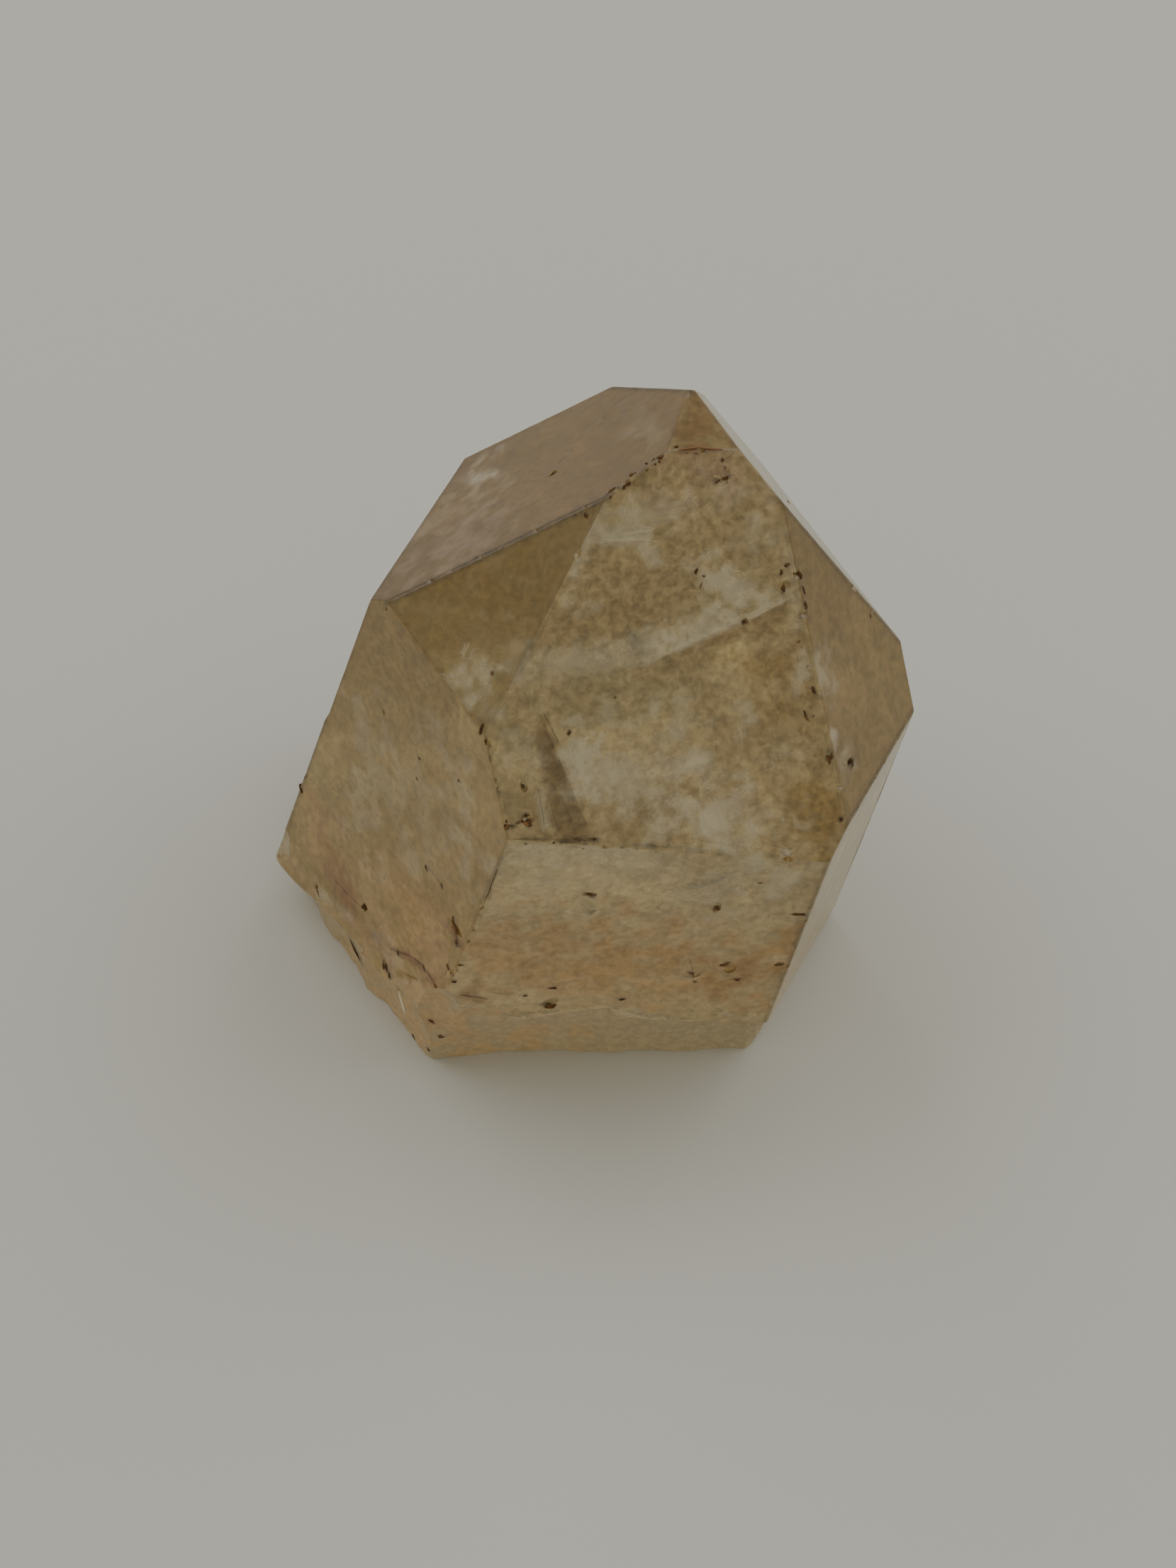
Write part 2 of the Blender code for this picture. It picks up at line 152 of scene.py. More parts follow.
@dataclass(frozen=True)
class Habit:
    """The crystal's faces and how it stands, as the solid was built. Millimetres and degrees."""

    turn_between: float = -60.0
    prism_distance: tuple[float, ...] = (12.45, 9.7, 10.55, 11.85, 9.85, 10.35)
    prism_tilt: tuple[float, ...] = (88.0, 90.0, 90.0, 89.5, 90.0, 90.0)
    tip_distance: tuple[float, ...] = (15.7, 12.95, 15.95, 16.15, 18.45, 15.8)
    tip_tilt: tuple[float, ...] = (51.8, 51.8, 51.8, 51.8, 51.8, 53.0)
    top: Facet = Facet(140.0, 15.6, 22.8)
    lean: float = 14.9
    lean_heading: float = 24.2
    spin: float = -50.2
    centre: tuple[float, float, float] = (-0.05, -0.57, 8.4)

    def facet(self, name: str) -> Facet:
        """A face by name.

        Args:
            name: m0 to m5 for the prism, r0 to r5 for the tip faces over it, or top.

        Returns:
            The face's turn, tilt and distance.
        """
        if name == "top":
            return self.top
        number = int(name[1])
        tilts, distances = (
            (self.prism_tilt, self.prism_distance)
            if name[0] == "m"
            else (self.tip_tilt, self.tip_distance)
        )
        return Facet(self.turn_between * number, tilts[number], distances[number])

    def attitude(self) -> Matrix:
        """The turn from the crystal's own axes to how it stands."""
        spin = Matrix.Rotation(math.radians(self.spin), 3, "Z")
        lean = Matrix.Rotation(math.radians(self.lean), 3, "Y")
        heading = Matrix.Rotation(math.radians(self.lean_heading), 3, "Z")
        return heading @ lean @ spin

    def axes(self, name: str) -> tuple[Vector, Vector, Vector]:
        """A face's own directions, as the crystal stands.

        Args:
            name: The face.

        Returns:
            Its outward normal, its level direction and its uphill direction.
        """
        facet = self.facet(name)
        turn, tilt = math.radians(facet.turn), math.radians(facet.tilt)
        flat = math.sin(tilt)
        normal = Vector((flat * math.cos(turn), flat * math.sin(turn), math.cos(tilt)))
        level = Vector((0, 0, 1)).cross(normal).normalized()
        turned = self.attitude()
        return turned @ normal, turned @ level, turned @ normal.cross(level)

    def point(self, name: str, across: float, up: float, depth: float = 0.0) -> Vector:
        """A point on or under a face.

        Args:
            name: The face.
            across: Millimetres along the face's level direction.
            up: Millimetres along its uphill direction.
            depth: Millimetres below the face.

        Returns:
            The point in metres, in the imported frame.
        """
        normal, level, uphill = self.axes(name)
        out = normal * (self.facet(name).distance - depth)
        return (Vector(self.centre) + out + level * across + uphill * up) * MM

    def names(self) -> list[str]:
        """The names of all the faces."""
        return [f"{kind}{number}" for kind in "mr" for number in range(6)] + ["top"]

    def outward(self) -> np.ndarray:
        """The outward normals of all the faces, one in each row."""
        return np.array([self.axes(name)[0] for name in self.names()])

    def gaps(self, places: np.ndarray) -> np.ndarray:
        """How far inside the plane of every face some places lie.

        Args:
            places: The places in millimetres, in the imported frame, one in each row.

        Returns:
            Millimetres, with a row for each place and a column for each face.
        """
        reach = np.array([self.facet(name).distance for name in self.names()])
        return reach - (places - np.array(self.centre)) @ self.outward().T

    def corner(self, first: str, second: str, third: str) -> Vector:
        """The point where three faces meet, in metres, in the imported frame."""
        trio = (first, second, third)
        planes = Matrix([self.axes(name)[0] for name in trio])
        distances = Vector([self.facet(name).distance for name in trio])
        return (Vector(self.centre) + planes.inverted() @ distances) * MM

    def frame_on(self, name: str, heading: float = 0.0) -> Matrix:
        """A turn whose Z is the face's normal and whose X runs along the face.

        Args:
            name: The face.
            heading: Degrees from the face's level direction towards uphill.

        Returns:
            The turn as a 4 by 4 matrix.
        """
        normal, level, uphill = self.axes(name)
        angle = math.radians(heading)
        along = level * math.cos(angle) + uphill * math.sin(angle)
        return Matrix((along, normal.cross(along), normal)).transposed().to_4x4()


HABIT = Habit()


@dataclass(frozen=True)
class View:
    """The photo's view: from in front and above, a long way off for its size. Millimetres."""

    elevation: float = 60.0
    distance: float = 302.66
    lens: float = 148.1
    sensor: float = 36.0
    photo_width: int = 1659
    photo_height: int = 2212
    clip: tuple[float, float] = (0.01, 10.0)

    def eye(self) -> Vector:
        """Where the camera stands, in millimetres."""
        angle = math.radians(self.elevation)
        return Vector(HABIT.centre) + self.distance * Vector((0, -math.cos(angle), math.sin(angle)))

    def turn(self) -> Matrix:
        """How the camera is turned."""
        return Matrix.Rotation(math.radians(90.0 - self.elevation), 3, "X")

    def sight(self, x: float, y: float) -> Vector:
        """The direction in which the camera sees a pixel of the photo."""
        pixel = self.sensor / self.photo_height
        across = (x - self.photo_width / 2) * pixel
        down = (y - self.photo_height / 2) * pixel
        return (self.turn() @ Vector((across, -down, -self.lens))).normalized()

    def build(self) -> bpy.types.Object:
        """Makes the camera and gives it to the scene.

        Returns:
            The camera.
        """
        data = bpy.data.cameras.new("camera")
        data.lens = self.lens
        data.sensor_width = self.sensor
        data.clip_start, data.clip_end = self.clip
        camera = placed("camera", data)
        camera.location = self.eye() * MM
        camera.rotation_euler = self.turn().to_euler()
        bpy.context.scene.camera = camera
        return camera


VIEW = View()


@dataclass(frozen=True)
class Spot:
    """A place on a crystal face, in millimetres across it and up it."""

    face: str
    across: float
    up: float

    def point(self, depth: float = 0.0) -> Vector:
        """The place in metres, on the face or a depth in millimetres below it."""
        return HABIT.point(self.face, self.across, self.up, depth)


def seen(face: str, x: float, y: float) -> Spot:
    """The place on a face that the photo shows at a pixel.

    Args:
        face: The face's name.
        x: Pixels from the photo's left side.
        y: Pixels from its top.

    Returns:
        The place on the face.
    """
    normal, level, uphill = HABIT.axes(face)
    eye = VIEW.eye() - Vector(HABIT.centre)
    sight = VIEW.sight(x, y)
    away = (HABIT.facet(face).distance - normal.dot(eye)) / normal.dot(sight)
    spot = eye + sight * away
    return Spot(face, level.dot(spot), uphill.dot(spot))


def run_between(first: Spot, last: Spot) -> tuple[Vector, Vector, Vector]:
    """The line from one place on a face to another.

    Args:
        first: Where it starts.
        last: Where it ends, on the same face.

    Returns:
        Its start and its end, in millimetres across and up, and the direction to its left.
    """
    start, end = Vector((first.across, first.up)), Vector((last.across, last.up))
    return start, end, Vector((start.y - end.y, end.x - start.x)).normalized()


class Links:
    """Short names for making and joining shader nodes in one tree."""

    def __init__(self, tree: bpy.types.NodeTree) -> None:
        """Keeps the tree that the nodes go into."""
        self.tree = tree

    def node(self, kind: str, **settings: object) -> bpy.types.Node:
        """A new node with some of its properties set."""
        made = self.tree.nodes.new(kind)
        for name, value in settings.items():
            setattr(made, name, value)
        return made

    def join(self, source: bpy.types.NodeSocket, target: bpy.types.NodeSocket) -> None:
        """Links one socket to another."""
        self.tree.links.new(source, target)

    def feed(self, target: bpy.types.NodeSocket, value: object) -> None:
        """Sets a socket to a number or colour, or links it to another socket."""
        if isinstance(value, bpy.types.NodeSocket):
            self.join(value, target)
        else:
            target.default_value = value

    def maths(self, operation: str, first: object, second: object) -> bpy.types.NodeSocket:
        """The result of a Math node on two numbers or sockets, kept within 0 and 1."""
        made = self.node("ShaderNodeMath", operation=operation, use_clamp=True)
        self.feed(made.inputs[0], first)
        self.feed(made.inputs[1], second)
        return made.outputs[0]

    def ramp(self, value: object, low: float, high: float) -> bpy.types.NodeSocket:
        """A smooth step.

        Args:
            value: The number or socket that is stepped.
            low: Where the step is still at 0.
            high: Where it has come to 1.

        Returns:
            The step, from 0 to 1.
        """
        made = self.node("ShaderNodeMapRange", interpolation_type="SMOOTHSTEP")
        self.feed(made.inputs["Value"], value)
        made.inputs["From Min"].default_value = low
        made.inputs["From Max"].default_value = high
        return made.outputs["Result"]

    def mix(self, share: object, first: object, second: object) -> bpy.types.NodeSocket:
        """A colour between two.

        Args:
            share: 0 for the first colour, 1 for the second.
            first: The first colour.
            second: The second colour.

        Returns:
            The colour.
        """
        made = self.node("ShaderNodeMix", data_type="RGBA")
        self.feed(made.inputs[0], share)
        self.feed(made.inputs[6], first)
        self.feed(made.inputs[7], second)
        return made.outputs[2]

    def blend(self, share: object, first: object, second: object) -> bpy.types.NodeSocket:
        """A number between two.

        Args:
            share: 0 for the first number, 1 for the second.
            first: The first number.
            second: The second number.

        Returns:
            The number.
        """
        made = self.node("ShaderNodeMix", data_type="FLOAT")
        self.feed(made.inputs[0], share)
        self.feed(made.inputs[2], first)
        self.feed(made.inputs[3], second)
        return made.outputs[0]

    def noise(
        self,
        scale: float,
        detail: float = 3.0,
        warp: float = 0.0,
        where: object = None,
        rough: float = 0.5,
    ) -> bpy.types.NodeSocket:
        """A noise pattern's value.

        Args:
            scale: Cells to the metre.
            detail: How many finer layers are added.
            warp: How far the pattern is pushed out of place.
            where: The place, if it isn't the default one.
            rough: How strong the finer layers are.

        Returns:
            The value, from 0 to 1.
        """
        made = self.node("ShaderNodeTexNoise")
        made.inputs["Scale"].default_value = scale
        made.inputs["Detail"].default_value = detail
        made.inputs["Distortion"].default_value = warp
        made.inputs["Roughness"].default_value = rough
        if where is not None:
            self.join(where, made.inputs["Vector"])
        return made.outputs["Fac"]

    def span(self, value: object, limits: tuple[float, float]) -> bpy.types.NodeSocket:
        """A number spread between two limits.

        Args:
            value: The number or socket, from 0 to 1.
            limits: What 0 and 1 become.

        Returns:
            The number between the limits.
        """
        made = self.node("ShaderNodeMapRange")
        self.feed(made.inputs["Value"], value)
        made.inputs["To Min"].default_value = limits[0]
        made.inputs["To Max"].default_value = limits[1]
        return made.outputs["Result"]

    def place(self) -> bpy.types.NodeSocket:
        """The Object coordinates of the piece."""
        return self.node("ShaderNodeTexCoord").outputs["Object"]


def new_material(name: str) -> tuple[bpy.types.Material, Links, bpy.types.Node]:
    """Starts a material.

    Args:
        name: The material's name.

    Returns:
        The material, its nodes and its surface shader.
    """
    material = bpy.data.materials.new(name)
    material.use_nodes = True
    return material, Links(material.node_tree), material.node_tree.nodes["Principled BSDF"]


class Stone(Enum):
    """Tints of the quartz for each face and for the break: the quartz's own colour, set lighter or
    darker face by face for how the light falls on it, which is painted light and shade.
    """

    SMOKY = (0.495, 0.395, 0.18)
    GOLDEN = (0.775, 0.65, 0.36)
    HAZEL = (0.485, 0.355, 0.135)
    TAN = (0.87, 0.755, 0.455)
    FAWN = (0.605, 0.458, 0.187)
    PINK = (0.365, 0.23, 0.07)
    OLIVE = (0.80, 0.73, 0.53)


@dataclass(frozen=True)
class TintAndShade:
    """How one face looks: its tint, with the painted light and shade of that face, and how cloudy it is
    from 0 to 1.
    """

    stone: Stone
    cloudy: float


# Each face's tint holds painted light and shade over the quartz's colour: m1 and m2 lighter for the
# light glowing through them, r2, r3 and the top darker.
FACE_TINTS_AND_SHADE = {
    "m0": TintAndShade(Stone.GOLDEN, 0.5),
    "m1": TintAndShade(Stone.TAN, 0.8),
    "m2": TintAndShade(Stone.FAWN, 0.7),
    "m3": TintAndShade(Stone.GOLDEN, 0.7),
    "m4": TintAndShade(Stone.TAN, 0.8),
    "m5": TintAndShade(Stone.GOLDEN, 0.7),
    "r0": TintAndShade(Stone.HAZEL, 0.5),
    "r1": TintAndShade(Stone.GOLDEN, 1.0),
    "r2": TintAndShade(Stone.SMOKY, 0.3),
    "r3": TintAndShade(Stone.PINK, 0.35),
    "r4": TintAndShade(Stone.PINK, 0.6),
    "r5": TintAndShade(Stone.GOLDEN, 0.6),
    "top": TintAndShade(Stone.SMOKY, 0.5),
}
BREAK = TintAndShade(Stone.OLIVE, 0.1)
HIDDEN_FACES = ("m3", "m4", "m5", "r4")
# Edges with a stronger line of painted shade along them; every edge gets a faint one.
PAINTED_SHADE_EDGES = (
    ("r2", "r3"),
    ("r3", "r4"),
    ("r3", "m3"),
    ("r2", "m3"),
    ("m2", "m3"),
    ("r0", "r5"),
    ("r0", "m0"),
    ("m0", "m1"),
)


class Stain(Enum):
    """Colours of the clouds, cracks and stains; SHADE is painted shade."""

    MILK = (0.95, 0.87, 0.66)
    ROSE = (0.90, 0.70, 0.48)
    RUST = (0.30, 0.12, 0.04)
    ORANGE = (0.78, 0.47, 0.17)
    PEACH = (0.95, 0.70, 0.38)
    HONEY = (0.46, 0.30, 0.07)
    SAGE = (0.56, 0.52, 0.30)
    SHADE = (0.32, 0.22, 0.10)


@dataclass(frozen=True)
class Cloud:
    """A ragged oval cloud, stain, patch of painted shade or patch of painted glow at a face.
    Millimetres and degrees.

    `flaky` is the share of it that is broken up into curls, and `heading` its long side's
    direction from the face's level line towards uphill. One with `past_rim` also colours the
    break below the face.
    """

    spot: Spot
    radius: float
    stain: Stain
    strength: float
    stretch: float = 1.0
    heading: float = 0.0
    flaky: float = 0.5
    past_rim: bool = False

    @property
    def face(self) -> str:
        """The face that it colours."""
        return self.spot.face


class Sides(Enum):
    """How a stroke ends sideways."""

    SOFT = "fading to both sides of its line"
    CRISP = "sharp on its line, fading away from it"
    FILLED = "sharp on its line and on its far side"


@dataclass(frozen=True)
class Stroke:
    """A long mark at a face, from one place to another. Millimetres.

    It spreads to the left of its line by `width`, or to the right where that is negative, and
    reaches `taper` times as far at its end. A soft one has its middle on the line. One with
    `past_rim` also colours the break below the face.
    """

    start: Spot
    end: Spot
    width: float
    stain: Stain
    strength: float
    sides: Sides = Sides.SOFT
    flaky: float = 0.3
    taper: float = 1.0
    past_rim: bool = False

    @property
    def face(self) -> str:
        """The face that it colours."""
        return self.start.face


CLOUDS = (
    Cloud(seen("r1", 1030, 822), 1.5, Stain.MILK, 0.55, 1.3, 60, 0.8),
    Cloud(seen("r1", 1060, 790), 1.4, Stain.MILK, 0.35, 1.2, 20, 0.8),
    Cloud(seen("r1", 990, 868), 1.0, Stain.MILK, 0.5, 1.6, 35, 0.8),
    Cloud(seen("r1", 895, 760), 0.9, Stain.MILK, 0.7, 2.6, 5, 0.3),
    Cloud(seen("r1", 1024, 806), 0.5, Stain.MILK, 0.95, 1.2, 60, 0.2),
    Cloud(seen("r1", 1028, 830), 0.5, Stain.MILK, 0.8, 1.3, -60, 0.2),
    Cloud(seen("r1", 1014, 854), 0.5, Stain.MILK, 0.7, 1.3, 60, 0.3),
    Cloud(seen("r1", 1044, 840), 0.5, Stain.MILK, 0.7, 1.3, 0, 0.3),
    Cloud(seen("r1", 905, 735), 1.7, Stain.MILK, 0.45, 1.4, 30, 0.7),
    Cloud(seen("r1", 850, 745), 1.1, Stain.MILK, 0.35, 1.0, 0, 0.6),
    Cloud(seen("r1", 1035, 700), 1.0, Stain.MILK, 0.3, 1.4, 0, 0.6),
    Cloud(seen("r1", 800, 840), 0.55, Stain.MILK, 0.7, 1.8, 50, 0.8),
    Cloud(seen("r1", 826, 860), 0.4, Stain.MILK, 0.5, 1.6, 50, 0.8),
    Cloud(seen("r1", 823, 1068), 0.9, Stain.MILK, 1.0, 1.3, -60, 0.1),
    Cloud(seen("r1", 850, 1085), 1.5, Stain.MILK, 0.5, 1.2, -40, 0.3),
    Cloud(seen("r1", 755, 1072), 0.7, Stain.MILK, 0.4, 1.0, 0, 0.5),
    Cloud(seen("r1", 735, 1060), 0.8, Stain.MILK, 0.25, 1.0, 0, 0.5),
    Cloud(seen("r1", 960, 1130), 2.0, Stain.MILK, 0.6, 1.5, -10, 0.6),
    Cloud(seen("r1", 1005, 1150), 1.9, Stain.MILK, 0.85, 1.3, -30, 0.7),
    Cloud(seen("r1", 1055, 1165), 1.5, Stain.MILK, 0.75, 1.2, -50, 0.8),
    Cloud(seen("r1", 985, 1095), 1.3, Stain.MILK, 0.5, 1.2, 30, 0.6),
    Cloud(seen("r1", 1010, 1110), 0.9, Stain.MILK, 0.6, 1.3, -60, 0.7),
    Cloud(seen("r1", 900, 1075), 2.2, Stain.MILK, 0.4, 1.2, 20, 0.5),
    Cloud(seen("r1", 1045, 1040), 0.5, Stain.MILK, 0.6, 2.6, 88, 0.9),
    Cloud(seen("r1", 1038, 1000), 0.5, Stain.MILK, 0.5, 2.2, 85, 0.9),
    Cloud(seen("r1", 1046, 1090), 0.4, Stain.MILK, 0.45, 2.0, 88, 0.9),
    Cloud(seen("r1", 983, 1058), 0.5, Stain.MILK, 0.5, 1.4, 60, 0.8),
    Cloud(seen("r1", 968, 1010), 0.8, Stain.MILK, 0.35, 1.2, 20, 0.8),
    Cloud(seen("r1", 897, 1026), 0.35, Stain.MILK, 0.4, 1.6, 60, 0.7),
    Cloud(seen("r1", 1128, 960), 0.3, Stain.MILK, 0.5, 3.4, 80, 0.6),
    Cloud(seen("r1", 1112, 1060), 0.9, Stain.MILK, 0.25, 1.2, 60, 0.8),
    Cloud(seen("r1", 890, 975), 2.6, Stain.SAGE, 0.55, 1.6, 10),
    Cloud(seen("r1", 820, 980), 1.8, Stain.SAGE, 0.3, 1.4, 20),
    Cloud(seen("r1", 1058, 940), 1.6, Stain.HONEY, 0.4, 1.1, 70),
    Cloud(seen("r1", 1148, 1150), 1.6, Stain.HONEY, 0.55, 1.6, 75),
    Cloud(seen("r1", 1110, 1010), 1.2, Stain.HONEY, 0.25, 1.6, 80),
    Cloud(seen("r1", 870, 820), 3.0, Stain.SHADE, 0.1, 1.2, 40),
    Cloud(seen("r1", 1015, 1065), 1.4, Stain.SHADE, 0.2, 1.8, 70),
    Cloud(seen("r1", 1012, 660), 0.8, Stain.RUST, 0.42, 1.5, 0),
    Cloud(seen("r1", 960, 640), 0.9, Stain.RUST, 0.2, 1.8, -10),
    Cloud(seen("r1", 1000, 645), 1.8, Stain.ROSE, 0.6, 1.8, 0, 0.3),
    Cloud(seen("r1", 1035, 655), 0.7, Stain.ROSE, 0.4, 1.6, 0, 0.6),
    Cloud(seen("r2", 652, 960), 0.9, Stain.MILK, 0.48, 1.2, -60, 0.8),
    Cloud(seen("r2", 680, 945), 0.8, Stain.MILK, 0.4, 1.6, 0, 0.8),
    Cloud(seen("r2", 708, 948), 0.6, Stain.MILK, 0.4, 1.1, 80, 0.8),
    Cloud(seen("r2", 665, 985), 0.8, Stain.MILK, 0.4, 1.2, -60, 0.8),
    Cloud(seen("r2", 690, 1000), 0.7, Stain.MILK, 0.28, 1.4, 50, 0.8),
    Cloud(seen("r2", 740, 945), 1.2, Stain.MILK, 0.24, 1.8, 10, 0.6),
    Cloud(seen("r2", 690, 850), 3.6, Stain.HONEY, 0.3, 1.5, 30),
    Cloud(seen("r3", 668, 672), 0.8, Stain.MILK, 0.4, 1.4, 60, 0.8),
    Cloud(seen("r3", 690, 660), 0.7, Stain.MILK, 0.3, 1.6, 50, 0.8),
    Cloud(seen("r3", 905, 600), 0.9, Stain.MILK, 0.12, 2.4, 50, 0.5),
    Cloud(seen("r3", 880, 614), 0.5, Stain.MILK, 0.12, 2.2, 50, 0.5),
    Cloud(seen("r3", 779, 672), 0.5, Stain.SHADE, 0.3, 1.8, 60),
    Cloud(seen("r3", 650, 760), 2.6, Stain.ROSE, 0.35, 1.5, 40, 0.2),
    Cloud(seen("r3", 905, 650), 1.2, Stain.HONEY, 0.3, 1.6, 45),
    Cloud(seen("r3", 960, 570), 1.4, Stain.HONEY, 0.35, 1.4, 45),
    Cloud(seen("m2", 530, 1085), 2.0, Stain.MILK, 0.24, 1.3, -50, 0.5),
    Cloud(seen("m2", 508, 1150), 1.6, Stain.MILK, 0.32, 1.4, -50, 0.5),
    Cloud(seen("m2", 600, 1140), 2.6, Stain.MILK, 0.15, 1.4, -30, 0.4),
    Cloud(seen("m2", 640, 1080), 1.6, Stain.MILK, 0.18, 1.3, -60, 0.4),
    Cloud(seen("m2", 582, 1212), 1.2, Stain.MILK, 0.28, 1.3, -30, 0.5),
    Cloud(seen("m2", 675, 1205), 1.3, Stain.MILK, 0.4, 1.4, -70, 0.5),
    Cloud(seen("m2", 660, 1160), 1.5, Stain.MILK, 0.28, 1.4, -60, 0.4),
    # The orange and peach clouds on m2, down to the break: the stone's warm orange, brightened as
    # painted glow where light comes out low at the front.
    Cloud(seen("m2", 455, 1185), 1.8, Stain.ORANGE, 0.65, 1.5, -50),
    Cloud(seen("m2", 590, 1300), 2.8, Stain.ORANGE, 0.55, 1.3, -40),
    Cloud(seen("m2", 625, 1390), 2.8, Stain.PEACH, 0.6, 1.3, -40, 0.3),
    Cloud(seen("m2", 596, 1432), 2.6, Stain.PEACH, 0.65, 1.2, -40, past_rim=True),
    Cloud(seen("m2", 520, 1400), 4.5, Stain.PEACH, 0.6, 2.0, -45, past_rim=True),
    Cloud(seen("m2", 480, 1245), 1.4, Stain.RUST, 0.45, 2.2, -45),
    Cloud(seen("m2", 544, 1362), 0.7, Stain.RUST, 0.6, 1.5, -50),
    Cloud(seen("m2", 635, 1425), 1.2, Stain.RUST, 0.3, 1.6, -30),
    Cloud(seen("m2", 602, 1346), 0.6, Stain.RUST, 0.45, 1.4, -40),
    Cloud(seen("m2", 622, 1378), 0.7, Stain.RUST, 0.45, 1.6, -60),
    Cloud(seen("m2", 583, 1364), 0.5, Stain.RUST, 0.4, 1.5, -30),
    Cloud(seen("m2", 642, 1325), 0.6, Stain.RUST, 0.5, 1.8, -70),
    Cloud(seen("m2", 504, 1290), 0.9, Stain.RUST, 0.35, 1.8, -45),
    Cloud(seen("m2", 572, 1408), 0.9, Stain.PEACH, 0.7, 1.4, -50),
    Cloud(seen("m2", 600, 1400), 0.6, Stain.PEACH, 0.6, 1.2, -50),
    Cloud(seen("m2", 560, 1390), 1.2, Stain.MILK, 0.32, 1.8, -50, 0.8),
    Cloud(seen("m2", 470, 1030), 3.0, Stain.HONEY, 0.3, 1.6, -65),
    Cloud(seen("m1", 1040, 1245), 1.6, Stain.MILK, 0.9, 1.3, 50, 0.6),
    Cloud(seen("m1", 1070, 1222), 1.5, Stain.MILK, 0.75, 1.5, 10, 0.6),
    Cloud(seen("m1", 1020, 1275), 1.1, Stain.MILK, 0.6, 1.2, 60, 0.6),
    Cloud(seen("m1", 760, 1222), 1.6, Stain.MILK, 0.35, 1.6, 0, 0.5),
    Cloud(seen("m1", 870, 1222), 1.4, Stain.MILK, 0.35, 1.7, 0, 0.5),
    Cloud(seen("m1", 945, 1216), 0.7, Stain.MILK, 0.4, 1.8, 0, 0.7),
    Cloud(seen("m1", 822, 1288), 0.5, Stain.MILK, 0.5, 1.3, 60, 0.8),
    Cloud(seen("m1", 954, 1278), 0.9, Stain.MILK, 0.4, 1.6, 0, 0.6),
    Cloud(seen("m1", 760, 1412), 1.2, Stain.MILK, 0.25, 2.6, 0, 0.4),
    Cloud(seen("m1", 900, 1425), 1.4, Stain.MILK, 0.25, 3.0, 0, 0.4),
    Cloud(seen("m1", 975, 1228), 1.4, Stain.SHADE, 0.25, 1.4, 10),
    Cloud(seen("m1", 826, 1228), 0.7, Stain.SHADE, 0.3, 1.0, 80),
    # The orange clouds low on m1: the stone's warm orange, brightened as painted glow where light comes
    # out low at the front.
    Cloud(seen("m1", 780, 1345), 4.2, Stain.ORANGE, 0.5, 1.8, 0),
    Cloud(seen("m1", 930, 1370), 3.6, Stain.ORANGE, 0.35, 2.0, 0),
    Cloud(seen("m1", 1060, 1370), 2.4, Stain.ORANGE, 0.4, 1.4, 20),
    Cloud(seen("m1", 1020, 1395), 0.9, Stain.RUST, 0.25, 1.6, -10),
    Cloud(seen("m1", 660, 1400), 0.9, Stain.RUST, 0.3, 1.5, -20),
    Cloud(seen("m1", 1110, 1330), 1.0, Stain.HONEY, 0.3, 1.6, 70),
    Cloud(seen("r0", 1174, 1040), 0.45, Stain.MILK, 0.6, 2.2, -70, 0.7),
    Cloud(seen("r0", 1192, 1085), 0.7, Stain.MILK, 0.3, 1.6, 60, 0.7),
    Cloud(seen("r0", 1160, 960), 0.9, Stain.MILK, 0.3, 1.6, 70, 0.6),
    Cloud(seen("r0", 1186, 1150), 0.5, Stain.RUST, 0.35, 1.6, 60),
    Cloud(seen("r0", 1190, 1010), 2.4, Stain.SHADE, 0.1, 1.8, 70),
    Cloud(seen("r0", 1220, 900), 1.6, Stain.HONEY, 0.12, 1.8, 60),
    Cloud(seen("top", 975, 635), 0.8, Stain.RUST, 0.3, 2.0, 0),
    Cloud(seen("top", 985, 600), 2.2, Stain.RUST, 0.42, 1.3, 60),
)

